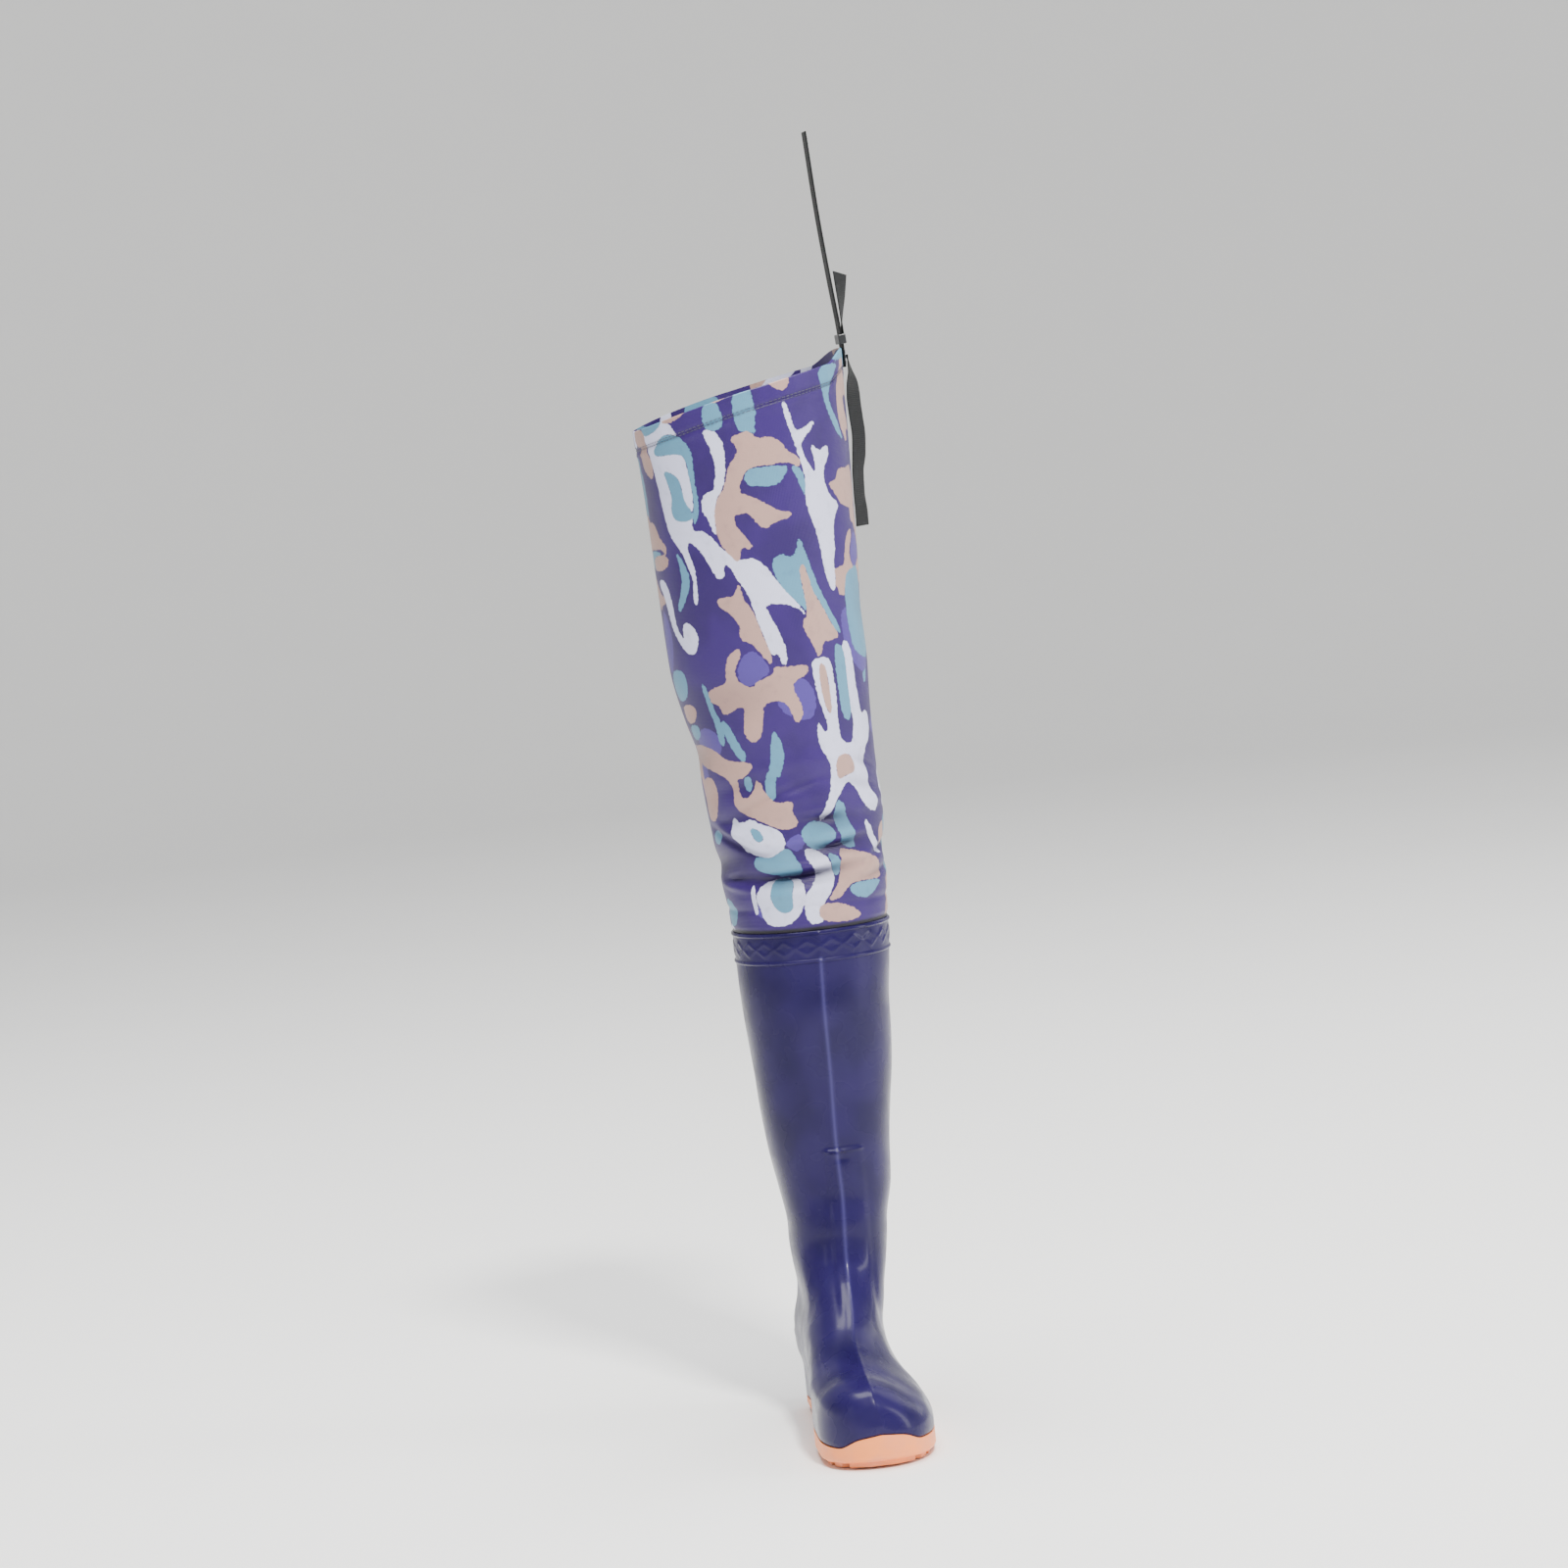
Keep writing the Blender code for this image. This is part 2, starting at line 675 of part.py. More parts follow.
def lug_end(y, side):
    """The x at which a bar ends at y, set in from the foot's outline."""
    toe_tip = HEEL_REACH - LAST_LENGTH + LUG_MARGIN
    back = HEEL_REACH * BOOT.at("heel", WIDEST_HEIGHT / BOOT_HEIGHT) - LUG_MARGIN
    share = math.acos(1 - 2 * (y - toe_tip) / (back - toe_tip)) / math.pi
    return foot_point(share, side, WIDEST_HEIGHT, LUG_MARGIN).x


def build_insole(foam):
    """The insole, lying on the sole inside the boot."""
    inset = tuck() + PVC_WALL + GAP
    low = sole_ring(lambda y, share, side: seat(y) + GAP, inset)
    high = sole_ring(lambda y, share, side: seat(y) + GAP + INSOLE_WALL, inset)
    return finish(loft("insole", [low, high], capped=True), foam)


def webbing(name, stations, wall, colour):
    """A flat strap through stations of centre, width direction and face direction."""
    mesh = bmesh.new()
    rows = []
    for centre, across, face in stations:
        half_width = across.normalized() * WEB_WIDTH / 2
        half_wall = face.normalized() * wall / 2
        corners = [half_width + half_wall, half_wall - half_width]
        corners += [-half_width - half_wall, half_width - half_wall]
        rows.append([mesh.verts.new(centre + corner) for corner in corners])
    for low, high in zip(rows, rows[1:]):
        for i in range(4):
            k = (i + 1) % 4
            mesh.faces.new((low[i], low[k], high[k], high[i]))
    mesh.faces.new(rows[0])
    mesh.faces.new(rows[-1])
    bmesh.ops.recalc_face_normals(mesh, faces=mesh.faces)
    return finish(add_object(name, mesh), colour)


def peak():
    """The outermost point of the hem at the fabric's peak."""
    top = rim(1.0)
    half, centre, front, back = leg(top)
    return Vector((centre + half + HEM_PROUD, (front + back) / 2, top))


def strap_centre(rise):
    """Middle of the belt strap at a height over the peak, below it where it is sewn."""
    base = peak()
    base.x += GAP + STRAP_WALL / 2
    lean = STRAP_LEAN * STRAP.at("lean", max(rise, 0.0) / STRAP_RISE)
    return base + Vector((-lean, 0.0, rise))


def build_strap(web):
    """The belt strap: doubled webbing, sewn outside the hem and standing over the peak."""
    across = Vector((0.0, 1.0, 0.0))
    face = Vector((1.0, 0.0, 0.0))
    rises = [-STRAP_SEWN] + [STRAP_RISE * k / STRAP_ROWS for k in range(STRAP_ROWS + 1)]
    stations = [(strap_centre(rise), across, face) for rise in rises]
    return webbing("belt_strap", stations, STRAP_WALL, web)


def build_flap(web):
    """The webbing's folded end, sewn to the strap over the slide and turned outwards."""
    start = SLIDE_RISE + SLIDE_HEIGHT / 2 + GAP
    stations = []
    for k in range(FLAP_ROWS + 1):
        place = k / FLAP_ROWS
        twist = FLAP_TWIST * FLAP.at("twist", place)
        drop = FLAP_DROP * FLAP.at("drop", place)
        across = Vector((math.sin(twist) * math.cos(drop), math.cos(twist), -math.sin(drop)))
        face = Vector((math.cos(twist), -math.sin(twist), 0.0))
        stand = STRAP_WALL / 2 + GAP + WEB_WALL / 2
        stand += across.x * WEB_WIDTH / 2 + FLAP_REACH * FLAP.at("reach", place)
        centre = strap_centre(start + FLAP_LENGTH * place) + Vector((stand, 0.0, 0.0))
        centre.z += WEB_WIDTH / 2 * math.sin(drop) / 2
        stations.append((centre, across, face))
    return webbing("strap_flap", stations, WEB_WALL, web)


def build_tail(web):
    """The strap's tail, hanging outside the shaft from the peak with a soft wave."""
    stations = []
    for k in range(TAIL_ROWS + 1):
        place = k / TAIL_ROWS
        height = peak().z - TAIL_START - TAIL_LENGTH * place
        half, centre, front, back = leg(height)
        twist = TAIL_TWIST * TAIL.at("twist", place)
        across = Vector((math.sin(twist), math.cos(twist), 0.0))
        face = Vector((math.cos(twist), -math.sin(twist), 0.0))
        stand = HEM_PROUD + GAP + TAIL_STAND * TAIL.at("stand", place)
        stand += across.x * WEB_WIDTH / 2 + face.x * WEB_WALL / 2
        y = (front + back) / 2 + TAIL_BACK * TAIL.at("back", place)
        stations.append((Vector((centre + half + stand, y, height)), across, face))
    return webbing("strap_tail", stations, WEB_WALL, web)


def build_slide(plastic):
    """The slide: a plastic ring that holds the doubled strap together over the peak."""
    centre = strap_centre(SLIDE_RISE)
    inner = Vector((STRAP_WALL + 2 * GAP, WEB_WIDTH + 2 * GAP, 2 * SLIDE_HEIGHT))
    outer = Vector((inner.x + 2 * SLIDE_RIM, inner.y + 2 * SLIDE_RIM, SLIDE_HEIGHT))
    lean = (strap_centre(SLIDE_RISE + SLIDE_HEIGHT).x - strap_centre(SLIDE_RISE - SLIDE_HEIGHT).x)
    tilt = Matrix.Rotation(math.atan2(lean, 2 * SLIDE_HEIGHT), 4, "Y")
    made = []
    for name, size, group in (("strap_slide", outer, PARTS), ("slide_slot", inner, CUTTERS)):
        mesh = bmesh.new()
        bmesh.ops.create_cube(mesh, size=1.0, matrix=Matrix.Diagonal((*size, 1.0)))
        data = bpy.data.meshes.new(name)
        mesh.to_mesh(data)
        mesh.free()
        box = bpy.data.objects.new(name, data)
        box.matrix_world = Matrix.Translation(centre) @ tilt
        group.objects.link(box)
        made.append(box)
    slide, slot = made
    slot.hide_render = True
    slot.display_type = "WIRE"
    bevel = slide.modifiers.new("rounded", "BEVEL")
    bevel.width = SLIDE_ROUND
    bevel.segments = 2
    cut = slide.modifiers.new("slot", "BOOLEAN")
    cut.operation = "DIFFERENCE"
    cut.object = slot
    return finish(slide, plastic)


for old in list(bpy.data.objects):
    bpy.data.objects.remove(old, do_unlink=True)

PARTS = bpy.data.collections.new("hip_wader")
CUTTERS = bpy.data.collections.new("cutters")
bpy.context.scene.collection.children.link(PARTS)
bpy.context.scene.collection.children.link(CUTTERS)

boot_pvc = material("boot_pvc", (0.036, 0.034, 0.115), 0.32, coat=0.3)
sole_pvc = material("sole_pvc", (0.87, 0.48, 0.22), 0.42)
coated_fabric = material("coated_fabric", (0.12, 0.09, 0.30), 0.55)
insole_foam = material("insole_foam", (0.10, 0.10, 0.11), 0.90)
strap_webbing = material("strap_webbing", (0.040, 0.045, 0.052), 0.80)
slide_plastic = material("slide_plastic", (0.020, 0.022, 0.025), 0.45)

build_sole(sole_pvc)
build_boot(boot_pvc)
build_insole(insole_foam)
build_thigh(coated_fabric)
build_strap(strap_webbing)
build_slide(slide_plastic)
build_flap(strap_webbing)
build_tail(strap_webbing)
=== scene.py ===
"""Left hip wader: a moulded PVC knee boot, a camouflage thigh shaft and a belt strap.

Metres, +Z up. The toe points along -Y and the outer side of the leg is +X. The origin
is on the floor, at the middle of the heel bar that lies under the ankle.
"""

import math

import bmesh
import bpy
import numpy as np
from bpy.props import FloatProperty, FloatVectorProperty, PointerProperty
from mathutils import Matrix, Vector


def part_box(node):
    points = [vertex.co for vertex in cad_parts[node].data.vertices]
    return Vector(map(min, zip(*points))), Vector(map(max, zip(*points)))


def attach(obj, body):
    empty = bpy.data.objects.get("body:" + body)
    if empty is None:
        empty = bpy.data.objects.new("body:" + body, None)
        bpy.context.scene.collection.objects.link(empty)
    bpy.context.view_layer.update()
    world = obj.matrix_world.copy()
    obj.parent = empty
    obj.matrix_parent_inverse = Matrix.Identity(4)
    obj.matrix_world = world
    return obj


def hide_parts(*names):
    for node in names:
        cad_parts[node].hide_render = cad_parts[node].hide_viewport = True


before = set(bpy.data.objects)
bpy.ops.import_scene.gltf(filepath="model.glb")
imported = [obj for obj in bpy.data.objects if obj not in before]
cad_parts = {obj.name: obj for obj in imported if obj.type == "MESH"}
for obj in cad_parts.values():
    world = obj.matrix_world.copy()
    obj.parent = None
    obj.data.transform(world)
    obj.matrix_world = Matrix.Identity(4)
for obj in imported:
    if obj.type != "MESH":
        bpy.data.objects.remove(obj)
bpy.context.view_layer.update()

bl_info = {
    "name": "Left hip wader",
    "version": (1, 0, 0),
    "blender": (4, 5, 0),
    "location": "3D View > Sidebar > Hip wader",
    "description": "Builds a hip wader piece by piece: boot, sole, thigh shaft and belt strap",
    "category": "Object",
}

# Foot: the boot's outer face over the last
LAST_LENGTH = 0.290
HEEL_REACH = 0.0435
BALL_WIDTH = 0.0955
TOE_HEIGHT = 0.066
INSTEP_HEIGHT = 0.150
WIDEST_HEIGHT = 0.026
TOE_ROUND = 0.060
TOE_FULL = 2.3
HEEL_ROUND = 0.036

# Boot shaft
BOOT_HEIGHT = 0.4045
ANKLE_WIDTH = 0.072
SHAFT_WIDTH = 0.1285
SHAFT_DEPTH = 0.1255
PVC_WALL = 0.0026

# Collar band, between two raised rings at the top of the boot
BAND_HEIGHT = 0.0225
BAND_LOZENGES = 22
RING_HEIGHT = 0.0036
RING_PROUD = 0.0012

# Fabric thigh shaft
RIM_HEIGHT = 0.860
RIM_DROP = 0.041
RIM_BOW = 0.003
PEAK_RISE = 0.009
PEAK_START = 0.76
THIGH_WIDTH = 0.176
THIGH_DEPTH = 0.190
FABRIC_WALL = 0.0012
LAP_HEIGHT = 0.018
LAP_FOLDED = 1.6
HEM_HEIGHT = 0.018
HEM_FOLDED = 2.0
HEM_PROUD = 0.0006

# Sole
LIP_WALL = 0.0013
EDGE_HEIGHT = 0.0330
EDGE_STEP = 0.0020
HEEL_SEAT = 0.0200
LUG_DEPTH = 0.0040
LUG_LENGTH = 0.0100
LUG_MARGIN = 0.0046
LUG_END = 0.0012
LUG_ROOT = 0.0020
HEEL_LUGS = range(-1, 3)
BALL_LUGS = 7
SOLE_EDGE_ROUND = 0.0035
LIP_ROUND = 0.0004
LUG_ROUND = 0.0009
INSOLE_WALL = 0.0030

# Webbing strap with its slide
WEB_WIDTH = 0.025
WEB_WALL = 0.0014
STRAP_WALL = 0.0020
STRAP_RISE = 0.176
STRAP_LEAN = 0.013
STRAP_SEWN = 0.016
SLIDE_HEIGHT = 0.008
SLIDE_RISE = 0.0068
FLAP_LENGTH = 0.048
FLAP_REACH = 0.0010
FLAP_TWIST = math.radians(32)
FLAP_DROP = math.radians(9)
TAIL_START = 0.006
TAIL_LENGTH = 0.140
TAIL_BACK = 0.014
TAIL_STAND = 0.0028
TAIL_TWIST = math.radians(32)

# Clearance between pieces that meet
GAP = 0.0003

# Mesh fineness
HALVINGS = 34
FOOT_STEP = 0.0023
SHIN_STEP = 0.0028
COLLAR_STEP = 0.0007
BOOT_COLUMNS = 240
SOLE_COLUMNS = 240
THIGH_COLUMNS = 300
THIGH_ROWS = 235
WEB_STEP = 0.0015
SHARP_ANGLE = math.radians(38)

# Rows of the thigh shaft, as shares of its height: how much they crowd to its foot, the
# last one under the rim, and the inner face's own, fewer above the low folds than in them
ROW_CROWDING = 1.15
RIM_ROW = 0.9985
INNER_TOP = 0.99
FOLDED_SHARE = 0.33
FOLDED_EVERY = 2
INNER_EVERY = 7
RIM_ROUND = (0.0002, 0.0003)


class Table:
    """Rows of shares under named columns; the first column is the place."""

    def __init__(self, names, rows):
        columns = np.array(rows, dtype=float).T
        self.places = columns[0]
        self.columns = dict(zip(names.split()[1:], columns[1:]))

    def at(self, name, place):
        """The column's values at places, on a smooth curve that never overshoots."""
        xs = self.places
        ys = self.columns[name]
        slopes = self.slopes(ys)
        place = np.clip(place, xs[0], xs[-1])
        i = np.clip(np.searchsorted(xs, place, side="right") - 1, 0, len(xs) - 2)
        width = (xs[1:] - xs[:-1])[i]
        t = (place - xs[i]) / width
        start = slopes[i] * width
        end = slopes[i + 1] * width
        rise = ys[i + 1] - ys[i]
        return ys[i] + t * (start + t * (3 * rise - 2 * start - end + t * (start + end - 2 * rise)))

    def slopes(self, ys):
        """Slope at each row: flat at a peak, else the harmonic mean of its two sides."""
        chords = np.diff(ys) / np.diff(self.places)
        before = chords[:-1]
        after = chords[1:]
        agree = before * after > 0
        both = np.where(agree, before + after, 1.0)
        inside = np.where(agree, 2 * before * after / both, 0.0)
        return np.concatenate([chords[:1], inside, chords[-1:]])


# Half-widths at the widest line, as shares of BALL_WIDTH, along the last from the heel
PLAN = Table("place medial lateral centre", [
    (0.00, 0.345, 0.345, 0.000),
    (0.15, 0.350, 0.352, 0.000),
    (0.33, 0.345, 0.370, 0.008),
    (0.48, 0.385, 0.430, 0.020),
    (0.61, 0.450, 0.485, 0.026),
    (0.71, 0.495, 0.500, 0.026),
    (0.80, 0.490, 0.485, 0.022),
    (0.90, 0.485, 0.470, 0.012),
    (1.00, 0.480, 0.450, 0.008),
])

# Top line of the foot along the last: TOE_HEIGHT times toe plus INSTEP_HEIGHT times instep
CREST = Table("place toe instep", [
    (0.00, 0.00, 6.00),
    (0.30, 0.00, 3.00),
    (0.35, 0.00, 1.85),
    (0.385, 0.00, 1.27),
    (0.415, 0.00, 1.00),
    (0.46, 0.12, 0.775),
    (0.52, 0.35, 0.530),
    (0.60, 0.68, 0.275),
    (0.68, 0.88, 0.115),
    (0.76, 0.98, 0.036),
    (0.85, 1.00, 0.000),
    (0.92, 0.955, 0.000),
    (0.96, 0.885, 0.000),
    (0.985, 0.755, 0.000),
    (1.00, 0.515, 0.000),
])

# Boot shaft up BOOT_HEIGHT: width runs from ANKLE_WIDTH to SHAFT_WIDTH, the centre is a
# share of SHAFT_WIDTH, the front and back of SHAFT_DEPTH, and the heel of HEEL_REACH
BOOT = Table("place width centre front heel back", [
    (0.050, 0.00, 0.000, -0.558, 1.000, 0.000),
    (0.085, 0.00, 0.000, -0.558, 1.000, 0.000),
    (0.130, 0.00, -0.036, -0.558, 0.980, 0.000),
    (0.190, 0.00, -0.034, -0.558, 0.890, 0.000),
    (0.250, 0.10, 0.004, -0.558, 0.820, 0.000),
    (0.3075, 0.19, 0.020, -0.558, 0.805, 0.000),
    (0.3875, 0.16, 0.034, -0.555, 0.837, 0.000),
    (0.470, 0.34, 0.047, -0.524, 0.500, 0.155),
    (0.550, 0.50, 0.043, -0.511, 0.200, 0.305),
    (0.630, 0.63, 0.047, -0.514, 0.000, 0.414),
    (0.710, 0.73, 0.054, -0.522, 0.000, 0.446),
    (0.830, 0.87, 0.056, -0.529, 0.000, 0.472),
    (0.950, 0.97, 0.068, -0.526, 0.000, 0.478),
    (1.000, 1.00, 0.071, -0.523, 0.000, 0.478),
])

# Thigh shaft from the collar to RIM_HEIGHT: width and depth run from the boot's to the
# thigh's, the centre is a share of SHAFT_WIDTH and the lean a share of THIGH_DEPTH
THIGH = Table("place width depth centre lean", [
    (0.00, 0.00, 0.00, 0.071, -0.014),
    (0.03, 0.03, 0.02, 0.071, -0.014),
    (0.10, 0.17, 0.12, 0.064, -0.014),
    (0.20, 0.27, 0.25, 0.050, -0.016),
    (0.31, 0.35, 0.38, 0.026, -0.020),
    (0.38, 0.48, 0.48, 0.003, -0.024),
    (0.48, 0.68, 0.62, -0.022, -0.028),
    (0.59, 0.74, 0.72, -0.029, -0.031),
    (0.69, 0.79, 0.80, -0.034, -0.034),
    (0.87, 0.92, 0.93, -0.043, -0.038),
    (1.00, 1.00, 1.00, -0.050, -0.040),
])

# Soft folds round the knee: height as a share of the thigh shaft, angle from the front
# (outer side positive), half-spans, depth as a share of SHAFT_WIDTH and tilt per radian
FOLDS = [
    (0.195, 20, 24, 0.024, -0.026, 0.010),
    (0.235, -5, 40, 0.026, 0.014, 0.010),
    (0.140, 22, 30, 0.022, -0.024, 0.020),
    (0.168, -28, 26, 0.024, 0.020, -0.030),
    (0.098, -22, 42, 0.020, -0.026, -0.012),
    (0.130, -78, 30, 0.022, -0.030, 0.020),
    (0.330, -88, 34, 0.040, -0.020, 0.000),
    (0.125, 92, 26, 0.022, -0.026, 0.020),
    (0.180, 118, 34, 0.026, 0.020, -0.020),
    (0.110, 168, 44, 0.024, -0.028, 0.010),
    (0.190, 196, 46, 0.026, -0.024, -0.010),
]

# Top edge of the sole round the foot, from the toe to the heel, as shares of EDGE_HEIGHT
WAVE = Table("place medial lateral", [
    (0.00, 0.83, 0.83),
    (0.07, 0.74, 0.76),
    (0.15, 0.53, 0.56),
    (0.24, 0.56, 0.54),
    (0.33, 0.60, 0.56),
    (0.44, 0.64, 0.66),
    (0.54, 0.66, 0.84),
    (0.66, 0.46, 0.76),
    (0.80, 0.36, 0.74),
    (0.90, 0.36, 0.84),
    (0.95, 0.58, 0.93),
    (1.00, 1.00, 1.00),
])

# Sole along the last from the heel, as shares of HEEL_SEAT: underside between the lugs
# and the seat that carries the insole
SOLE = Table("place under seat", [
    (0.00, 0.00, 1.00),
    (0.24, 0.00, 1.00),
    (0.27, 0.04, 1.00),
    (0.31, 0.40, 0.98),
    (0.42, 0.36, 0.88),
    (0.52, 0.06, 0.70),
    (0.56, 0.00, 0.62),
    (0.72, 0.00, 0.55),
    (0.83, 0.00, 0.56),
    (0.92, 0.04, 0.60),
    (1.00, 0.14, 0.70),
])

# How full the foot is over the widest line, and the shaft round the leg
FULL = {"medial": 2.5, "lateral": 1.5}
LEG_FULL = 2.1

# Heights between which the foot's rings turn into the leg's, the foot's curved middle line
# straightens, and the middle moves to the leg's: shares of INSTEP_HEIGHT
ANKLE_BLEND = (0.62, 1.04)
CURVE_BLEND = (0.20, 0.667)
MIDDLE_BLEND = (0.173, 0.433)

# Belt strap above its sewn end: rise and lean from 0 at the rim to 1 at the top
STRAP = Table("place lean", [
    (0.00, 0.00),
    (0.10, 0.10),
    (0.35, 0.42),
    (0.65, 0.74),
    (1.00, 1.00),
])

# Hanging tail down its length: stand-off from the shaft, twist out of its face and how far
# it swings to the back, as shares of the strap's sizes
TAIL = Table("place stand twist back", [
    (0.00, 1.00, 0.10, 0.00),
    (0.09, 1.00, 0.40, 0.20),
    (0.17, 0.50, 0.85, 0.60),
    (0.26, 0.40, 1.00, 1.00),
    (0.36, 0.65, 1.00, 1.00),
    (0.46, 1.00, 1.00, 1.00),
    (0.58, 0.65, 1.00, 1.00),
    (0.69, 0.25, 0.86, 1.00),
    (0.81, 0.20, 0.84, 1.00),
    (0.92, 0.28, 0.92, 1.00),
    (1.00, 0.20, 0.94, 1.00),
])

# Flap over the slide: the free end of the webbing, turned out of the strap's plane
FLAP = Table("place reach twist drop", [
    (0.00, 0.00, 0.05, 0.00),
    (0.25, 0.10, 0.25, 0.10),
    (0.60, 0.50, 0.62, 0.45),
    (1.00, 1.00, 1.00, 1.00),
])


def mix(a, b, t):
    """The value or point that is t of the way from a to b."""
    return a + (b - a) * t


def smooth(start, end, value):
    """A soft step from 0 at start to 1 at end."""
    t = np.clip((value - start) / (end - start), 0.0, 1.0)
    return t * t * (3 - 2 * t)


def bump(value, middle, half):
    """A soft hill of height 1 at middle that fades out about half away on each side."""
    return np.exp(-((value - middle) / half) ** 2)


def blended(shares, height):
    """How far a height is through a blend whose ends are shares of INSTEP_HEIGHT."""
    return smooth(shares[0] * INSTEP_HEIGHT, shares[1] * INSTEP_HEIGHT, height)


def along(y):
    """Share of the last's length from the heel at y."""
    return (HEEL_REACH - y) / LAST_LENGTH


def crest(y):
    """Height of the foot's top line at y."""
    place = along(y)
    return TOE_HEIGHT * CREST.at("toe", place) + INSTEP_HEIGHT * CREST.at("instep", place)


def crest_front(height):
    """The y at which the foot's top line reaches each height."""
    toe_tip = HEEL_REACH - LAST_LENGTH
    near = np.full(np.shape(height), toe_tip)
    far = np.full(np.shape(height), HEEL_REACH)
    for _ in range(HALVINGS):
        middle = (near + far) / 2
        below = crest(middle) < height
        near = np.where(below, middle, near)
        far = np.where(below, far, middle)
    return np.where(height <= crest(toe_tip), toe_tip, (near + far) / 2)


def leg(height):
    """Half-width, centre, front and back of the leg at each height."""
    low = height / BOOT_HEIGHT
    high = (height - BOOT_HEIGHT) / (RIM_HEIGHT - BOOT_HEIGHT)
    in_boot = height <= BOOT_HEIGHT
    boot_width = mix(ANKLE_WIDTH, SHAFT_WIDTH, BOOT.at("width", low))
    thigh_width = mix(SHAFT_WIDTH, THIGH_WIDTH, THIGH.at("width", high))
    depth = mix(SHAFT_DEPTH, THIGH_DEPTH, THIGH.at("depth", high))
    lean = THIGH_DEPTH * (THIGH.at("lean", high) - THIGH.at("lean", 0.0))
    middle = lean + SHAFT_DEPTH * (BOOT.at("front", 1.0) + BOOT.at("back", 1.0)) / 2
    heel = HEEL_REACH * BOOT.at("heel", low) + SHAFT_DEPTH * BOOT.at("back", low)
    half = np.where(in_boot, boot_width, thigh_width) / 2
    centre = SHAFT_WIDTH * np.where(in_boot, BOOT.at("centre", low), THIGH.at("centre", high))
    front = np.where(in_boot, SHAFT_DEPTH * BOOT.at("front", low), middle - depth / 2)
    back = np.where(in_boot, heel, middle + depth / 2)
    return half, centre, front, back


def ring_places(columns):
    """Shares from the front at 0 to the back at 1, and sides, of the points of a ring."""
    steps = np.arange(columns // 2) / (columns // 2)
    shares = np.concatenate([steps, 1 - steps])
    signs = np.concatenate([np.ones(columns // 2), -np.ones(columns // 2)])
    return shares, signs


def by_side(signs, lateral, medial):
    """One value for the lateral side's points and another for the medial side's."""
    return np.where(signs > 0, lateral, medial)


def foot_points(shares, signs, height, inset):
    """Points of the foot's rings: shares run from the toe at 0 to the heel at 1."""
    height = np.broadcast_to(height, np.broadcast(shares, height).shape)
    toe_tip = HEEL_REACH - LAST_LENGTH + inset
    front = np.maximum(crest_front(height) + inset, crest_front(height + inset))
    back = HEEL_REACH * BOOT.at("heel", height / BOOT_HEIGHT) - inset
    y = mix(front, back, (1 - np.cos(np.pi * shares)) / 2)
    place = along(y)
    plan = by_side(signs, PLAN.at("lateral", place), PLAN.at("medial", place))
    half = BALL_WIDTH * plan - inset
    toe_left = np.clip((y - toe_tip) / TOE_ROUND, 0.0, 1.0)
    heel_left = np.clip((back - y) / HEEL_ROUND, 0.0, 1.0)
    half = half * (1 - (1 - toe_left) ** TOE_FULL) ** (1 / TOE_FULL)
    half = half * np.sqrt(1 - (1 - heel_left) ** 2)
    top = np.minimum(crest(y) - inset, crest(y - inset))
    rise = (height - WIDEST_HEIGHT) / np.maximum(top - WIDEST_HEIGHT, 1e-6)
    full = by_side(signs, FULL["lateral"], FULL["medial"])
    half = half * (1 - np.clip(rise, 0.0, 1.0) ** full) ** (1 / full)
    half = np.where((shares == 0) | (shares == 1), 0.0, half)
    leg_middle = leg(height)[1] * blended(MIDDLE_BLEND, height)
    foot_middle = BALL_WIDTH * PLAN.at("centre", place) * (1 - blended(CURVE_BLEND, height))
    return np.stack([foot_middle + leg_middle + signs * half, y, height], axis=-1)


def leg_points(shares, signs, height, inset):
    """Points of the leg's rings: shares run from the shin at 0 to the calf at 1."""
    half, centre, front, back = leg(height)
    turn = np.cos(np.pi * shares)
    y = mix(front + inset, back - inset, (1 - turn) / 2)
    across = np.clip(1 - np.abs(turn) ** LEG_FULL, 0.0, 1.0) ** (1 / LEG_FULL)
    x = centre + signs * (half - inset) * across
    return np.stack([x, y, np.broadcast_to(height, x.shape)], axis=-1)


def boot_points(shares, signs, height, inset):
    """Points of the boot's level rings, whose foot turns into the leg over the ankle."""
    blend = blended(ANKLE_BLEND, np.broadcast_to(height, np.broadcast(shares, height).shape))
    foot = foot_points(shares, signs, height, inset)
    return mix(foot, leg_points(shares, signs, height, inset), blend[..., None])


def sole_ring(shares, signs, inset, height):
    """A ring on the sole's outline, at its points' heights or at a function of their y."""
    points = foot_points(shares, signs, WIDEST_HEIGHT, inset)
    points[..., 2] = height(points[..., 1]) if callable(height) else height
    return points


def seat(y):
    """Height of the sole's inner floor."""
    return HEEL_SEAT * SOLE.at("seat", along(y))


def underside(y):
    """Height of the sole's underside between its lugs."""
    return LUG_DEPTH + HEEL_SEAT * SOLE.at("under", along(y))


def edge(shares, signs):
    """Height of the sole's waved top edge."""
    return EDGE_HEIGHT * by_side(signs, WAVE.at("lateral", shares), WAVE.at("medial", shares))


def rim(across):
    """Height of the fabric's top edge, across from -1 on the inner side to 1 at the peak."""
    slope = RIM_HEIGHT - RIM_DROP * (1 - across) / 2
    return slope + RIM_BOW * (1 - across * across) + PEAK_RISE * smooth(PEAK_START, 1.0, across)


def turned(angle, middle):
    """Angle from a middle given in degrees, between half a turn back and half a turn on."""
    return (angle - math.radians(middle) + np.pi) % (2 * np.pi) - np.pi


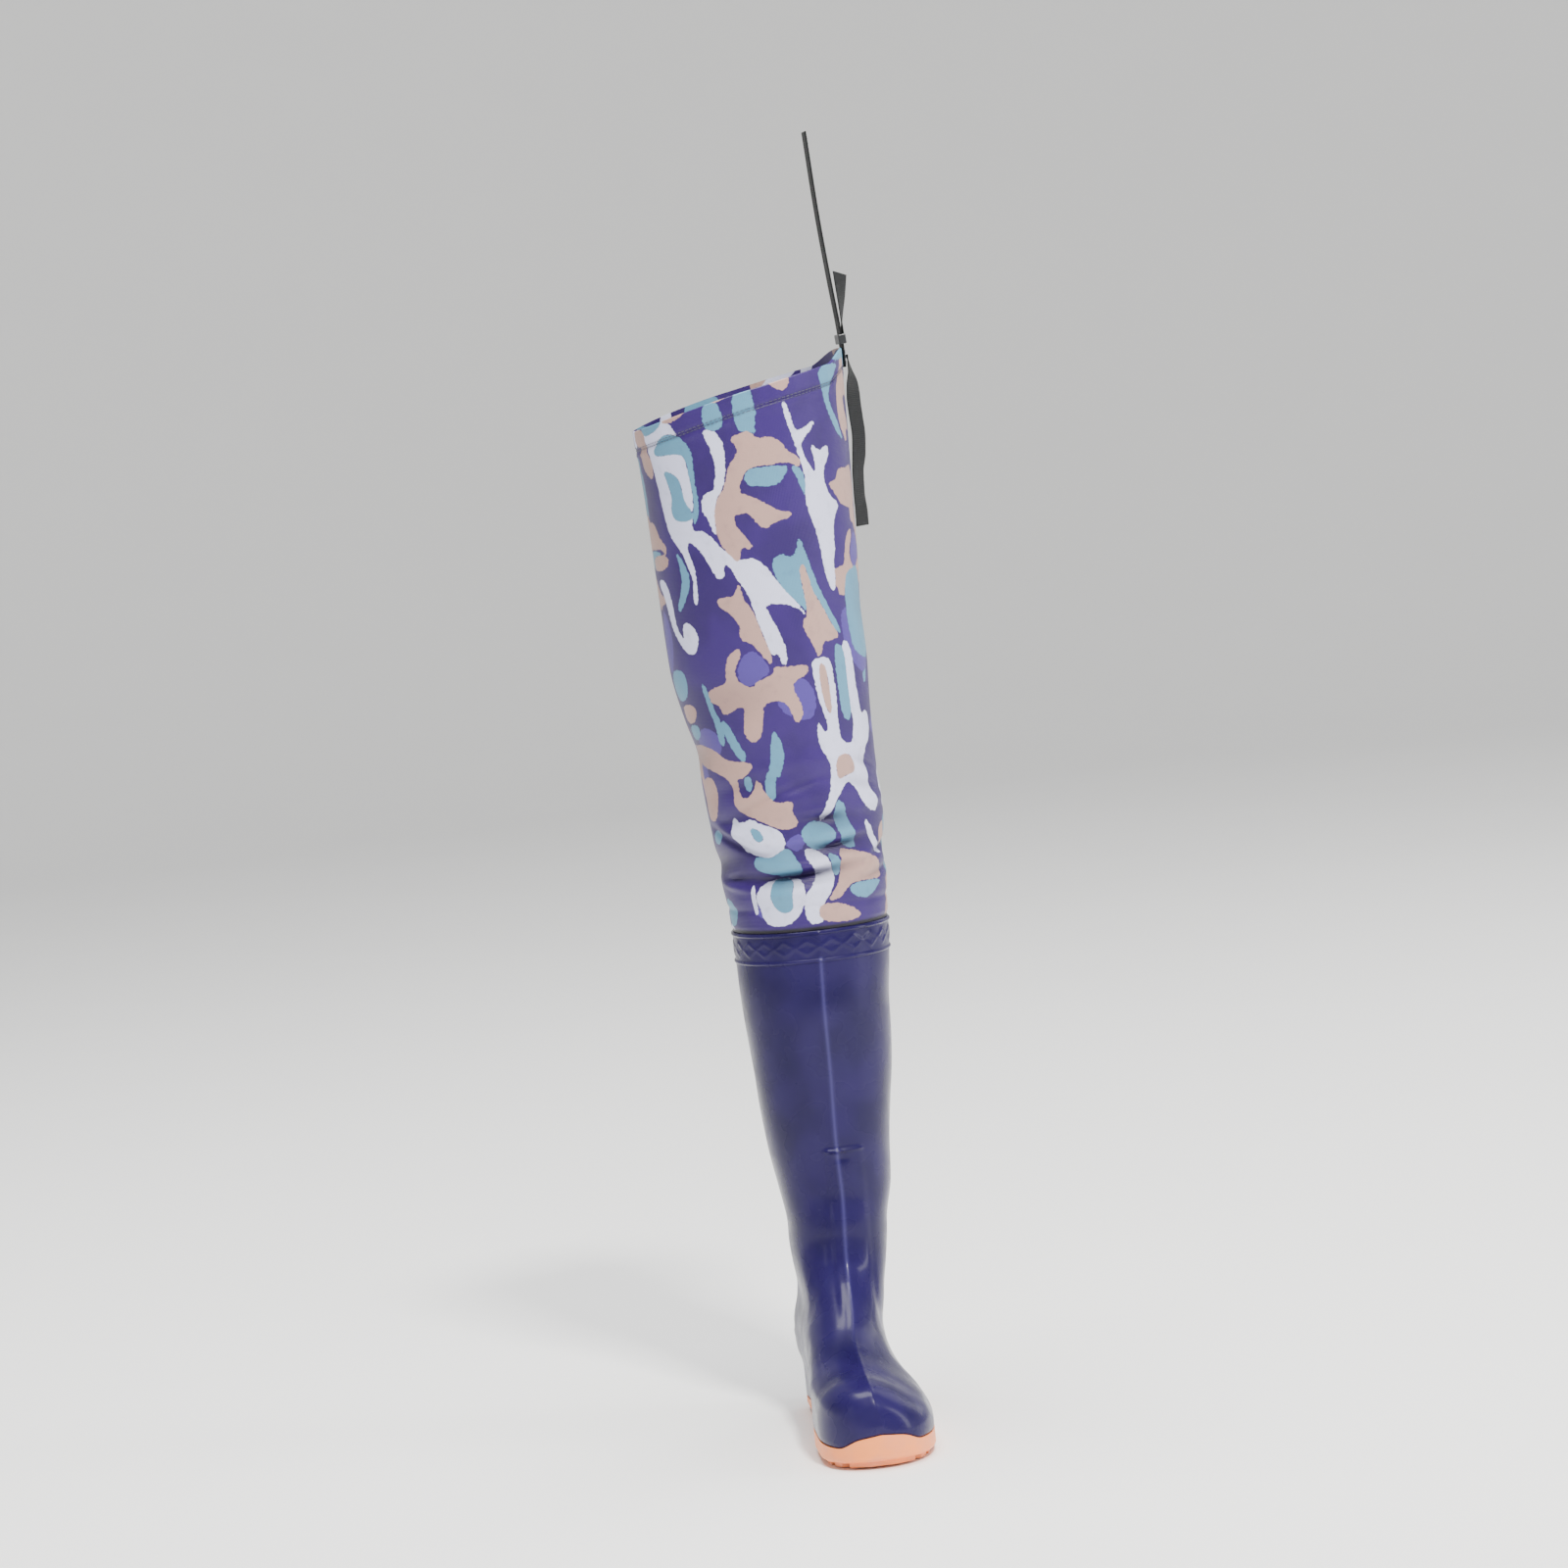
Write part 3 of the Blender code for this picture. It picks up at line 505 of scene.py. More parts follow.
def folds(rows, place, angle):
    """How far the fabric stands out at shares of the shaft's height and angles."""
    total = np.zeros(np.broadcast(place, angle).shape)
    for height, middle, spread, band, depth, tilt in rows:
        turn = turned(angle, middle)
        rise = (place - height - tilt * turn) / band
        total += depth * np.exp(-rise * rise - (turn / math.radians(spread)) ** 2)
    return total * SHAFT_WIDTH


def thigh_points(shares, signs, level, inset, relief=0.0):
    """Points of the fabric shaft: level runs from its lower edge to its rim."""
    foot = BOOT_HEIGHT + GAP
    angle = signs * np.pi * shares
    top = rim(np.sin(angle))
    height = mix(foot, top, level)
    clear = smooth(LAP_HEIGHT, LAP_FOLDED * LAP_HEIGHT, height - foot)
    clear = clear * smooth(0, HEM_FOLDED * HEM_HEIGHT, top - height)
    place = (height - BOOT_HEIGHT) / (RIM_HEIGHT - BOOT_HEIGHT)
    out = clear * (folds(FOLDS, place, angle) + relief * folds(SOFT_FOLDS, place, angle))
    return leg_points(shares, signs, height, inset - out)


def peak():
    """The outermost point of the hem at the fabric's peak."""
    top = rim(1.0)
    half, centre, front, back = leg(top)
    return Vector((float(centre + half) + HEM_PROUD, float(front + back) / 2, float(top)))


def strap_centre(rise):
    """Middle of the belt strap at a height over the peak, below it where it is sewn."""
    base = peak()
    base.x += GAP + STRAP_WALL / 2
    lean = STRAP_LEAN * float(STRAP.at("lean", max(rise, 0.0) / STRAP_RISE))
    return base + Vector((-lean, 0.0, rise))


# Softer folds of the fabric alone, in the columns of FOLDS
SOFT_FOLDS = [
    (0.300, 10, 50, 0.018, 0.006, 0.020),
    (0.272, -30, 34, 0.014, -0.008, 0.030),
    (0.252, 42, 26, 0.012, -0.009, -0.030),
    (0.214, 55, 26, 0.012, 0.009, 0.020),
    (0.206, -50, 22, 0.012, -0.010, 0.030),
    (0.152, -8, 26, 0.010, -0.012, 0.020),
    (0.120, 40, 24, 0.009, 0.011, -0.020),
    (0.106, 8, 30, 0.009, -0.010, 0.015),
    (0.088, 60, 26, 0.008, -0.010, 0.020),
    (0.086, -60, 24, 0.008, 0.009, -0.020),
    (0.070, -15, 30, 0.008, 0.008, 0.015),
    (0.420, -35, 40, 0.050, -0.007, 0.030),
    (0.500, 30, 36, 0.060, 0.006, -0.020),
    (0.620, -50, 30, 0.070, 0.005, 0.000),
    (0.700, 15, 24, 0.100, -0.004, 0.000),
    (0.560, 80, 30, 0.060, -0.007, 0.000),
    (0.800, -75, 26, 0.090, -0.005, 0.000),
    (0.240, 150, 30, 0.014, -0.010, 0.020),
    (0.160, 205, 30, 0.012, -0.010, -0.020),
    (0.130, 150, 26, 0.010, 0.010, 0.020),
    (0.300, 185, 40, 0.020, -0.008, 0.010),
    (0.450, 160, 40, 0.050, 0.006, 0.000),
    (0.620, 200, 40, 0.060, -0.005, 0.000),
    (0.101, -8, 26, 0.0070, -0.016, 0.006),
    (0.116, -10, 24, 0.0080, 0.012, 0.006),
    (0.148, 18, 20, 0.0075, -0.018, 0.016),
    (0.163, 20, 20, 0.0085, 0.012, 0.012),
    (0.199, 14, 13, 0.0080, -0.014, 0.000),
    (0.214, 12, 18, 0.0100, 0.010, 0.010),
    (0.163, -50, 22, 0.0080, -0.015, -0.055),
    (0.180, -46, 22, 0.0090, 0.011, -0.050),
    (0.100, -60, 16, 0.0070, -0.012, 0.010),
    (0.128, 62, 20, 0.0080, -0.012, 0.040),
    (0.245, -18, 30, 0.0100, -0.009, 0.050),
    (0.285, 55, 24, 0.0120, -0.009, -0.060),
    (0.118, 128, 26, 0.0080, -0.014, -0.030),
    (0.148, 172, 24, 0.0080, -0.015, 0.030),
    (0.108, 216, 26, 0.0080, -0.013, 0.020),
]

# The print is charted as it is seen from the front: across and down in chart units, over
# the shaft seen from a little to the inner side and from above
CHART_UNIT = 1 / 1247
CHART_MIDDLE = 987.5
CHART_FLOOR = 1404
CHART_TURN = math.radians(-5.2)
CHART_TILT = math.radians(4.7)

# Figures of the print, each painted over those before it
PRINT = [
    ("light", "905,690 930,700 926,730 905,735"),
    ("light", "884,560 893,600 888,640 883,620"),
    ("light", "984,640 1030,660 1026,700 990,690"),
    ("light", "1060,580 1084,600 1082,660 1062,640"),
    ("light", "940,880 980,860 1008,882 960,898"),
    ("pale", "882,380 885,400 888,420 892,448 896,480 900,500 908,512 915,530 918,540 920,550 917,566"
             " 922,574 923,540 920,526 916,516 918,508 922,510 930,520 936,532 942,546 946,550 952,544"
             " 950,538 952,534 958,540 964,554 972,566 975,580 978,596 984,612 988,630 996,628 998,639"
             " 1004,640 1004,626 998,606 991,590 988,582 990,578 1008,580 1018,584 1030,596 1020,580"
             " 1012,570 1000,554 990,538 980,531 966,533 958,526 948,516 940,504 930,498 922,498"
             " 928,470 924,428 918,400 908,385 900,380"),
    ("teal", "892,414 902,400 914,400 926,410 931,424 930,452 933,470 930,486 924,494 928,468 926,452"
             " 924,428 918,420 894,420"),
    ("teal", "899,434 908,438 916,446 918,470 926,480 924,488 908,487 903,476 906,464 903,448"),
    ("pale", "941,400 948,416 951,428 953,440 950,454 948,462 937,463 934,480 940,488 944,504 952,505"
             " 948,490 950,470 958,460 962,445 963,430 962,412 954,402"),
    ("teal", "946,376 958,374 963,380 965,400 954,404 944,398"),
    ("teal", "975,370 988,363 994,366 996,374 998,388 996,400 995,412 988,406 980,408 976,396"),
    ("tan", "968,412 980,408 988,406 998,416 1006,413 1018,418 1024,428 1032,434 1038,438 1036,448"
            " 1026,440 1004,442 988,442 980,448 972,466 984,470 1000,480 1012,489 1027,489 1020,496"
            " 1004,498 998,504 990,502 982,488 972,486 964,490 969,502 980,516 981,524 972,520 968,522"
            " 969,530 964,534 958,526 950,516 946,500 948,472 960,460 964,440 976,428 975,420"),
    ("teal", "980,444 1004,443 1026,444 1022,450 1016,460 1004,463 980,460"),
    ("teal", "1026,443 1036,446 1040,456 1040,476 1036,470 1032,456"),
    ("pale", "1024,386 1027,377 1029,386 1032,396 1034,406 1037,412 1052,402 1055,403 1052,408"
             " 1039,422 1041,436 1046,444 1051,454 1052,440 1048,426 1052,426 1057,432 1062,426"
             " 1066,427 1066,436 1062,444 1058,454 1062,476 1072,484 1066,496 1063,512 1063,532"
             " 1060,540 1061,554 1060,566 1057,573 1054,566 1050,550 1049,530 1047,512 1041,492"
             " 1038,476 1041,456 1036,436 1033,420 1028,404"),
    ("tan", "1061,463 1072,460 1073,449 1082,448 1087,442 1087,488 1074,487 1070,476"),
    ("teal", "1062,348 1084,343 1080,352 1074,366 1071,378 1075,392 1080,408 1083,422 1077,414"
             " 1072,400 1067,382 1065,366"),
    ("teal", "882,380 904,372 904,392 884,400"),
    ("tan", "903,372 929,364 929,384 904,392"),
    ("tan", "950,358 976,350 974,372 951,378"),
    ("teal", "972,352 990,346 990,366 972,372"),
    ("tan", "1008,341 1025,335 1035,356 1030,372 1016,366 1008,358"),
    ("teal", "1073,321 1093,316 1090,338 1073,342"),
    ("teal", "998,536 1008,529 1018,535 1024,530 1028,513 1032,526 1038,550 1044,570 1052,590"
             " 1058,606 1060,616 1045,600 1030,592 1020,580 1008,566 1000,552"),
    ("tan", "1024,548 1030,540 1034,556 1036,570 1042,580 1052,606 1058,616 1048,620 1040,620"
            " 1039,630 1034,636 1030,622 1020,600 1030,592"),
    ("teal", "1069,558 1076,548 1085,544 1085,640 1070,636 1068,600"),
    ("tan", "940,569 948,566 958,568 964,552 966,572 974,580 980,600 985,618 990,632 987,640"
            " 976,622 968,614 961,612 959,604 961,598 956,590 950,582 942,576"),
    ("tan", "880,516 896,516 896,531 881,531"),
    ("teal", "903,512 912,528 917,545 913,560 903,578 901,570 908,552 908,534"),
    ("pale", "882,540 890,540 896,560 897,590 904,606 903,590 909,586 917,596 918,612 910,622"
             " 901,612 893,592 889,560"),
    ("teal", "886,630 901,634 901,662 892,665 887,648"),
    ("tan", "893,667 907,670 905,688 896,686"),
    ("teal", "898,688 908,690 907,705 900,704"),
    ("tan", "946,624 958,618 959,626 952,636 950,644 953,653 966,660 972,653 988,649 990,640"
            " 998,642 1018,641 1024,643 1023,650 1004,660 1012,676 1015,688 1009,700 1004,694"
            " 1000,680 992,674 975,676 974,690 971,708 962,715 954,708 953,694 957,677 948,677"
            " 940,683 932,682 931,674 920,668 919,660 928,654 940,654 941,638"),
    ("light", "953,640 960,626 972,622 982,634 987,646 972,653 966,659 953,653"),
    ("pale", "1028,638 1033,636 1041,635 1046,640 1048,660 1049,680 1048,700 1049,722 1060,724"
             " 1062,712 1064,702 1060,680 1056,640 1060,620 1065,622 1068,636 1069,660 1071,680"
             " 1072,696 1076,691 1079,694 1079,708 1077,720 1071,730 1072,750 1074,770 1078,780"
             " 1078,792 1074,795 1064,786 1060,770 1053,760 1044,770 1036,782 1032,792 1022,800"
             " 1020,797 1026,784 1032,772 1037,752 1034,738 1028,726 1026,712 1028,698 1032,708"
             " 1036,711 1038,702 1034,690 1030,670 1027,646"),
    ("tan", "1034,640 1041,645 1043,670 1043,694 1038,690 1034,666"),
    ("tan", "1041,735 1058,733 1061,752 1050,756 1042,760"),
    ("teal", "1050,622 1060,626 1061,660 1063,700 1053,700 1051,660"),
    ("teal", "982,702 988,712 992,728 988,740 984,752 980,748 978,768 976,774 969,772 968,752"
             " 975,742 978,720"),
    ("teal", "914,648 919,652 924,676 932,694 933,714 927,712 925,694 919,676"),
    ("teal", "930,686 938,694 946,712 954,728 948,733 939,718 932,700"),
    ("tan", "900,706 918,714 934,730 956,732 958,740 948,748 940,748 942,766 950,769 958,760"
            " 958,752 962,752 966,760 972,772 980,776 996,776 992,786 1000,802 980,804 960,792"
            " 944,784 936,776 936,760 932,746 918,738 902,725"),
    ("teal", "946,750 954,744 956,760 950,763"),
    ("tan", "906,742 918,744 920,770 916,790 908,784"),
    ("teal", "910,796 918,798 918,812 911,810"),
    ("pale", "930,784 940,794 950,788 960,796 974,800 984,812 980,826 966,834 950,826 938,820"
             " 932,804"),
    ("teal", "950,826 966,832 984,820 992,834 1000,850 984,852 964,848 948,840"),
    ("teal", "948,798 958,800 964,812 956,814"),
    ("light", "980,818 997,807 1006,817 994,829"),
    ("teal", "998,806 1012,797 1030,802 1036,814 1026,826 1010,828 1002,818"),
    ("teal", "1036,780 1044,780 1050,800 1056,820 1054,830 1042,826 1036,804"),
    ("pale", "1000,824 1014,826 1027,840 1030,856 1023,872 1013,884 1014,901 996,901 995,874"
             " 1008,860 1012,848 1003,838"),
    ("teal", "1024,830 1036,836 1038,848 1030,858 1028,844"),
    ("tan", "1036,826 1054,832 1074,840 1078,862 1060,862 1044,864 1032,878 1018,880 1030,866"
            " 1038,848"),
    ("teal", "1042,864 1076,862 1072,868 1060,882 1044,876"),
    ("pale", "956,854 948,866 950,880 952,890 960,900 980,900 990,890 996,880 998,860 988,852"),
    ("teal", "966,852 962,864 964,880 972,888 984,886 984,870 988,854"),
    ("tan", "1009,880 1040,884 1056,900 1010,902"),
    ("pale", "943,856 948,858 948,888 944,886"),
    ("pale", "1064,800 1069,804 1074,820 1080,838 1074,836 1068,820"),
]

# The same figures again round the shaft, each repeat over those before it: how far on in
# degrees, how far up in metres, and how far from the front, in degrees, its figures lie
PRINT_REPEATS = [
    (82, 0.085, 17),
    (82, -0.370, 17),
    (-86, -0.060, 17),
    (-86, 0.395, 17),
    (180, 0.130, 90),
    (180, -0.330, 90),
    (0, 0.000, 90),
]
PRINT_RADIUS = 0.078
PRINT_REACH = 0.006
PRINT_OVERLAP = 0.0003
PRINT_COLOURS = ("light", "pale", "teal", "tan")


def from_chart(columns, rows):
    """Angles and heights on the shaft of points of the print's chart."""
    across = (columns - CHART_MIDDLE) * CHART_UNIT
    up = (CHART_FLOOR - rows) * CHART_UNIT
    x = across
    y = np.full(across.shape, -SHAFT_DEPTH / 2)
    for _ in range(6):
        nearer = y * math.cos(CHART_TURN) - x * math.sin(CHART_TURN)
        height = (up - nearer * math.sin(CHART_TILT)) / math.cos(CHART_TILT)
        x = (across - y * math.sin(CHART_TURN)) / math.cos(CHART_TURN)
        half, centre, front, back = leg(height)
        share = np.clip(np.abs(x - centre) / half, 0.0, 1.0)
        turn = (1 - share ** LEG_FULL) ** (1 / LEG_FULL)
        y = (front + back) / 2 - turn * (back - front) / 2
    return np.sign(x - centre) * np.arccos(turn), height


def rounded_outline(outline):
    """A closed outline with each corner cut twice, so that it runs in soft curves."""
    for _ in range(2):
        following = np.roll(outline, -1, axis=0)
        cut = np.stack([mix(outline, following, 0.25), mix(outline, following, 0.75)], axis=1)
        outline = cut.reshape(-1, 2)
    return outline


def inside_by(outline, x, y):
    """How far points lie inside a closed outline, below 0 for those outside it."""
    nearest = np.full(x.shape, np.inf)
    inside = np.zeros(x.shape, dtype=bool)
    for (ax, ay), (bx, by) in zip(outline, np.roll(outline, -1, axis=0)):
        dx = bx - ax
        dy = by - ay
        t = np.clip(((x - ax) * dx + (y - ay) * dy) / max(dx * dx + dy * dy, 1e-12), 0.0, 1.0)
        nearest = np.minimum(nearest, np.hypot(x - ax - t * dx, y - ay - t * dy))
        if ay != by:
            inside ^= ((ay > y) != (by > y)) & (x < ax + (y - ay) * dx / dy)
    return np.where(inside, nearest, -nearest)


def painted(angle, height):
    """Each print colour's reach at points of the shaft: above 0 where the colour shows."""
    reach = {colour: np.full(angle.shape, -PRINT_REACH) for colour in PRINT_COLOURS}
    figures = []
    for colour, chart in PRINT:
        columns, rows = np.array([pair.split(",") for pair in chart.split()], dtype=float).T
        turns, heights = from_chart(columns, rows)
        outline = rounded_outline(np.stack([turns * PRINT_RADIUS, heights], axis=1))
        figures.append((colour, outline, outline[:, 0].mean() / PRINT_RADIUS))
    for on, up, within in PRINT_REPEATS:
        for colour, outline, middle in figures:
            if abs(math.degrees(middle)) > within:
                continue
            x = (turned(angle, math.degrees(middle) + on) + middle) * PRINT_RADIUS
            y = height - up
            low = outline.min(axis=0) - PRINT_REACH
            high = outline.max(axis=0) + PRINT_REACH
            near = (x > low[0]) & (x < high[0]) & (y > low[1]) & (y < high[1])
            if near.any():
                inside = inside_by(outline, x[near], y[near])
                paint(reach, colour, near, np.clip(inside, -PRINT_REACH, PRINT_REACH))
    return reach


def paint(reach, colour, near, inside):
    """Lay one figure of a colour over the others, on the points near it."""
    for other in PRINT_COLOURS:
        if other == colour:
            reach[other][near] = np.maximum(reach[other][near], inside)
        else:
            reach[other][near] = np.minimum(reach[other][near], PRINT_OVERLAP - inside)


# How far the fabric and the boot's neck are drawn in at the collar's welded joint, the
# shares of the shaft over which that fades and that get rows of their own, and the
# heights over the collar between which the fabric's darkened lower edge fades
JOINT_DRAW = 0.0010
JOINT_DRAWN = (0.004, 0.013)
JOINT_LEVELS = (0.0015, 0.004, 0.008, 0.012)
DARK_EDGE_SPAN = (0.0022, 0.0042)

# Hem: heights over its lower edge of the sewn channel and of the two rows of stitches
HEM_CHANNEL = 0.0026
HEM_ROWS = (0.0016, 0.0040)

# From the start of a stitch to the start of the next, as a share of its length
STITCH_STEP = 1.25

# Shin panel: its soft edges, across from the mould seam, and the heights where it begins
PANEL_INNER = (-0.0120, -0.0065)
PANEL_OUTER = (0.0175, 0.0240)
PANEL_FOOT = (0.088, 0.118)

# Ledge at the heel: its height, half-height and half-turn, and its rise as a share of the
# crease setting
LEDGE_HEIGHT = 0.068
LEDGE_HALF = 0.0030
LEDGE_TURN = math.radians(50)
LEDGE_SHARE = 1.2

# Line round the toe cap: its y, its bow ahead per square metre, its half-width, the heights
# where it begins, and its depth as a share of the crease setting
TOE_LINE = -0.185
TOE_LINE_BOW = 4.0
TOE_LINE_HALF = 0.0040
TOE_LINE_FOOT = (0.034, 0.044)
TOE_LINE_SHARE = 0.12

# Bar that ends the shin panel: the heights between which rows lie close, its own height,
# half-height and fall, and its rise and its dimple's depth as shares of the panel's rise
BAR_LOW = 0.214
BAR_TOP = 0.224
BAR_HIGH = 0.232
BAR_HALF = 0.0016
BAR_FALL = 0.0022
BAR_SHARE = 1.5
DIMPLE_SHARE = 0.7

# Dimple: its middle and half-width over from the seam, then how far under the bar, and its
# half-height
DIMPLE_ACROSS = (0.0035, 0.0050)
DIMPLE_DROP = 0.0065
DIMPLE_HALF = 0.0032

# Mould seam: the heights where it begins, and the half-widths of its ridge and its swell;
# then the painted highlight along it: how much it shows, its half-width, the heights where it begins,
# and how far under the band it ends
SEAM_FOOT = (0.030, 0.050)
SEAM_HALVES = (0.0022, 0.0075)
SEAM_HIGHLIGHT_SHOWN = 0.30
SEAM_HIGHLIGHT_HALF = 0.0014
SEAM_HIGHLIGHT_FOOT = (0.060, 0.150)
SEAM_HIGHLIGHT_END = 0.002

# Creases of the boot: height, tilt per radian, spread in degrees, half-height, and depth
# as a share of the crease setting; the first list is ahead, the second over the heel
BOOT_CREASES = [
    (0.158, -0.012, 46, 0.0080, 0.30),
    (0.136, -0.022, 52, 0.0070, 0.35),
    (0.118, -0.020, 46, 0.0060, 0.25),
    (0.182, -0.006, 40, 0.0090, 0.20),
]
HEEL_CREASES = [
    (0.128, 0.006, 60, 0.0060, 0.90),
    (0.108, 0.002, 56, 0.0050, 0.80),
    (0.152, 0.010, 50, 0.0070, 0.50),
]

# Slight waves of the boot's shaft: the heights where they begin and end; then of each its
# depth, waves round the shaft, turn per metre up, beats per metre up, and their start
WAVES_FOOT = (0.13, 0.20)
WAVES_TOP = (0.33, 0.375)
SHAFT_WAVES = [
    (0.0007, 2, 24, 31, 1.2),
    (0.0004, 3, -52, 0, 0.0),
]

# Lozenges of the collar band: half-height as a share of the band, the place and half-width
# of their outline from middle to corner, how wide they are, and where their relief ends
LOZENGE_HALF = 0.36
LOZENGE_LINE = (0.82, 0.20)
LOZENGE_WIDE = 0.9
LOZENGE_END = 1.4

# Back seam: rise of its lap, the distances from its middle where that falls off, and the
# depth, place and half-width of its lines of stitching
BACK_SEAM_RISE = 0.0006
BACK_SEAM_FOOT = 0.006
BACK_SEAM_EDGE = (0.0050, 0.0062)
BACK_LINES_DEPTH = 0.0004
BACK_LINES = (0.0040, 0.0006)

# Relief of the hem: depth of its channel with half-height, rise of the swell under it with
# place and half-height, and depth of the pucker with place, half-height and waves round
CHANNEL_DEPTH = 0.0008
CHANNEL_HALF = 0.0016
SWELL_RISE = 0.0005
SWELL = (0.0022, 0.0018)
PUCKER_DEPTH = 0.00025
PUCKER = (0.0010, 0.0070)
PUCKER_WAVES = (96, 37)

# Crease that the weld pulls over the boot's neck: depth, place over the lap, half-height
NECK_CREASE = (0.0010, 0.001, 0.0028)

# Painted shade in the creases: depth of trough that is fully shaded and the share that stays unshaded,
# how much the large folds count, and how much and how high the hem's channel is shaded
CREASE_SHADE_DEPTH = 0.0026
CREASE_SHADE_FROM = 0.10
CREASE_SHADE_FOLDS = 0.5
CHANNEL_SHADE_SHARE = 0.5
CHANNEL_SHADE_HALF = 0.0013

# Section of the webbing: the powers that square it off, how thin its middle is, and the
# shares of its width where it thickens to its edges
WEB_SIDES = 28
WEB_SQUARED = (0.35, 0.60)
WEB_THIN = 0.86
WEB_EDGE = (0.36, 0.44)

# Strap's stitches: how far they reach across as a share of its width, the sewn box's
# margin, and the two rows' places under the strap's top
BOX_REACH = 0.40
BOX_MARGIN = 0.0022
ROWS_DROP = 0.006
ROWS_APART = 0.004

# Soft lights: name, place, width and height, power in watts, and tint
LIGHTS = [
    ("key", (0.7, -2.7, 3.8), (0.50, 0.50), 290.0, "#FFFDF8"),
    ("left_strip", (-3.0, -2.6, 1.5), (0.3, 2.0), 6.0, "#F6F8FF"),
    ("right_strip", (3.3, -1.2, 1.4), (0.7, 2.6), 52.0, "#FFFFFF"),
    ("left_rim", (-2.4, 2.4, 1.5), (1.2, 2.4), 2.0, "#FFFFFF"),
    ("right_rim", (2.6, 2.2, 1.7), (1.2, 2.4), 14.0, "#FFFFFF"),
    ("overhead", (0.0, 0.2, 4.8), (2.6, 2.6), 320.0, "#FFFFFF"),
]

# Floor: how far it lies flat, the radius of its bend, and the height of its wall
FLOOR_FLAT = 6.0
FLOOR_BEND = 3.0
WALL_HEIGHT = 5.0
FLOOR_SIDES = 96

# Height that the lights are aimed at, and the strength and tint of the light all round
LIGHTS_AIM = 0.45
SKY_STRENGTH = 0.45
SKY_TINT = "#F6F7FA"


def linear(code):
    """The linear colour of an sRGB hex code."""
    parts = [int(code[i:i + 2], 16) / 255 for i in (1, 3, 5)]
    return tuple(c / 12.92 if c <= 0.04045 else ((c + 0.055) / 1.055) ** 2.4 for c in parts)


def colour(name, description, code):
    """A colour property whose default is an sRGB hex code."""
    return FloatVectorProperty(name=name, description=description, subtype="COLOR", size=3,
                               min=0.0, max=1.0, default=linear(code))


def length(name, description, default):
    """A length property in metres."""
    return FloatProperty(name=name, description=description, default=default, unit="LENGTH",
                         precision=5)


def node_size(node, axis):
    """A size of a solid of the frame along an axis."""
    low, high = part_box(node)
    return high[axis] - low[axis]


class BootSettings(bpy.types.PropertyGroup):
    """Sizes and colours of the knee boot and the sole."""

    pvc: colour("PVC", "Colour of the boot's moulded PVC", "#1F1645")
    pvc_dark: colour("PVC shade", "Darker mottling of the boot's PVC", "#171039")
    sole: colour("Sole", "Colour of the sole's moulded PVC", "#FA8F48")
    sole_edge: colour("Sole edge", "Pinker tone of the sole's edges", "#E08A6C")
    foam: colour("Insole", "Colour of the insole's cloth face", "#3C3D42")
    seam: length("Mould seam", "Rise of the mould seam down the front", 0.0007)
    panel: length("Shin panel", "Rise of the panel down the shin and instep", 0.0010)
    emboss: length("Band relief", "Rise of the pattern on the collar band", 0.0007)
    crease: length("Ankle creases", "Depth of the creases over the ankle", 0.0010)


class FabricSettings(bpy.types.PropertyGroup):
    """Sizes and colours of the thigh shaft."""

    ground: colour("Ground", "Violet ground of the print", "#2F185E")
    light: colour("Light violet", "Lighter violet figures of the print", "#493888")
    pale: colour("Pale", "Pale lavender figures of the print", "#CCCEE8")
    teal: colour("Teal", "Grey-teal figures of the print", "#568AA4")
    tan: colour("Tan", "Tan figures of the print", "#AC8B80")
    backing: colour("Backing", "Coating on the inside of the fabric", "#6E7078")
    thread: colour("Thread", "Stitches of the hem", "#2C2748")
    weave: length("Weave", "Spacing of the threads of the weave", 0.0011)
    stitch: length("Stitch", "Length of a stitch of the hem", 0.0030)
    soften: FloatProperty(name="Soft folds", description="How far the softer folds show",
                          default=1.8, min=0.0, max=2.0, subtype="FACTOR")


class StrapSettings(bpy.types.PropertyGroup):
    """Sizes and colours of the belt strap."""

    web: colour("Webbing", "Colour of the polypropylene webbing", "#08090B")
    web_light: colour("Webbing ribs", "Lighter tone on the ribs of the webbing", "#14171A")
    slide: colour("Slide", "Colour of the moulded slide", "#1B1D20")
    width: length("Width", "Width of the webbing", node_size("belt_strap", 1))
    rib: length("Rib", "Spacing of the webbing's ribs", 0.0016)
    stitch: length("Stitch", "Length of a stitch of the strap", 0.0026)


class StageSettings(bpy.types.PropertyGroup):
    """The floor, the lights and the camera."""

    floor: colour("Floor", "Colour of the floor", "#F7F7F6")
    distance: length("Camera distance", "From the wader's axis to the camera", 4.0)
    height: length("Camera height", "Height of the camera over the floor", 0.85)
    aim: length("Aim height", "Height that the camera looks at", 0.52)
    turn: FloatProperty(name="Camera turn", description="How far the camera stands to the side",
                        default=CHART_TURN, subtype="ANGLE", unit="ROTATION")
    roll: FloatProperty(name="Camera roll", description="How far the camera is rolled",
                        default=math.radians(-6), subtype="ANGLE", unit="ROTATION")
    lens: FloatProperty(name="Lens", description="Focal length of the camera in millimetres",
                        default=112.6, min=20.0, unit="CAMERA")


class WaderSettings(bpy.types.PropertyGroup):
    """All the settings of the wader."""

    boot: PointerProperty(type=BootSettings, name="Boot", description="Knee boot and sole")
    fabric: PointerProperty(type=FabricSettings, name="Fabric", description="Thigh shaft")
    strap: PointerProperty(type=StrapSettings, name="Strap", description="Belt strap")
    stage: PointerProperty(type=StageSettings, name="Stage", description="Floor and camera")


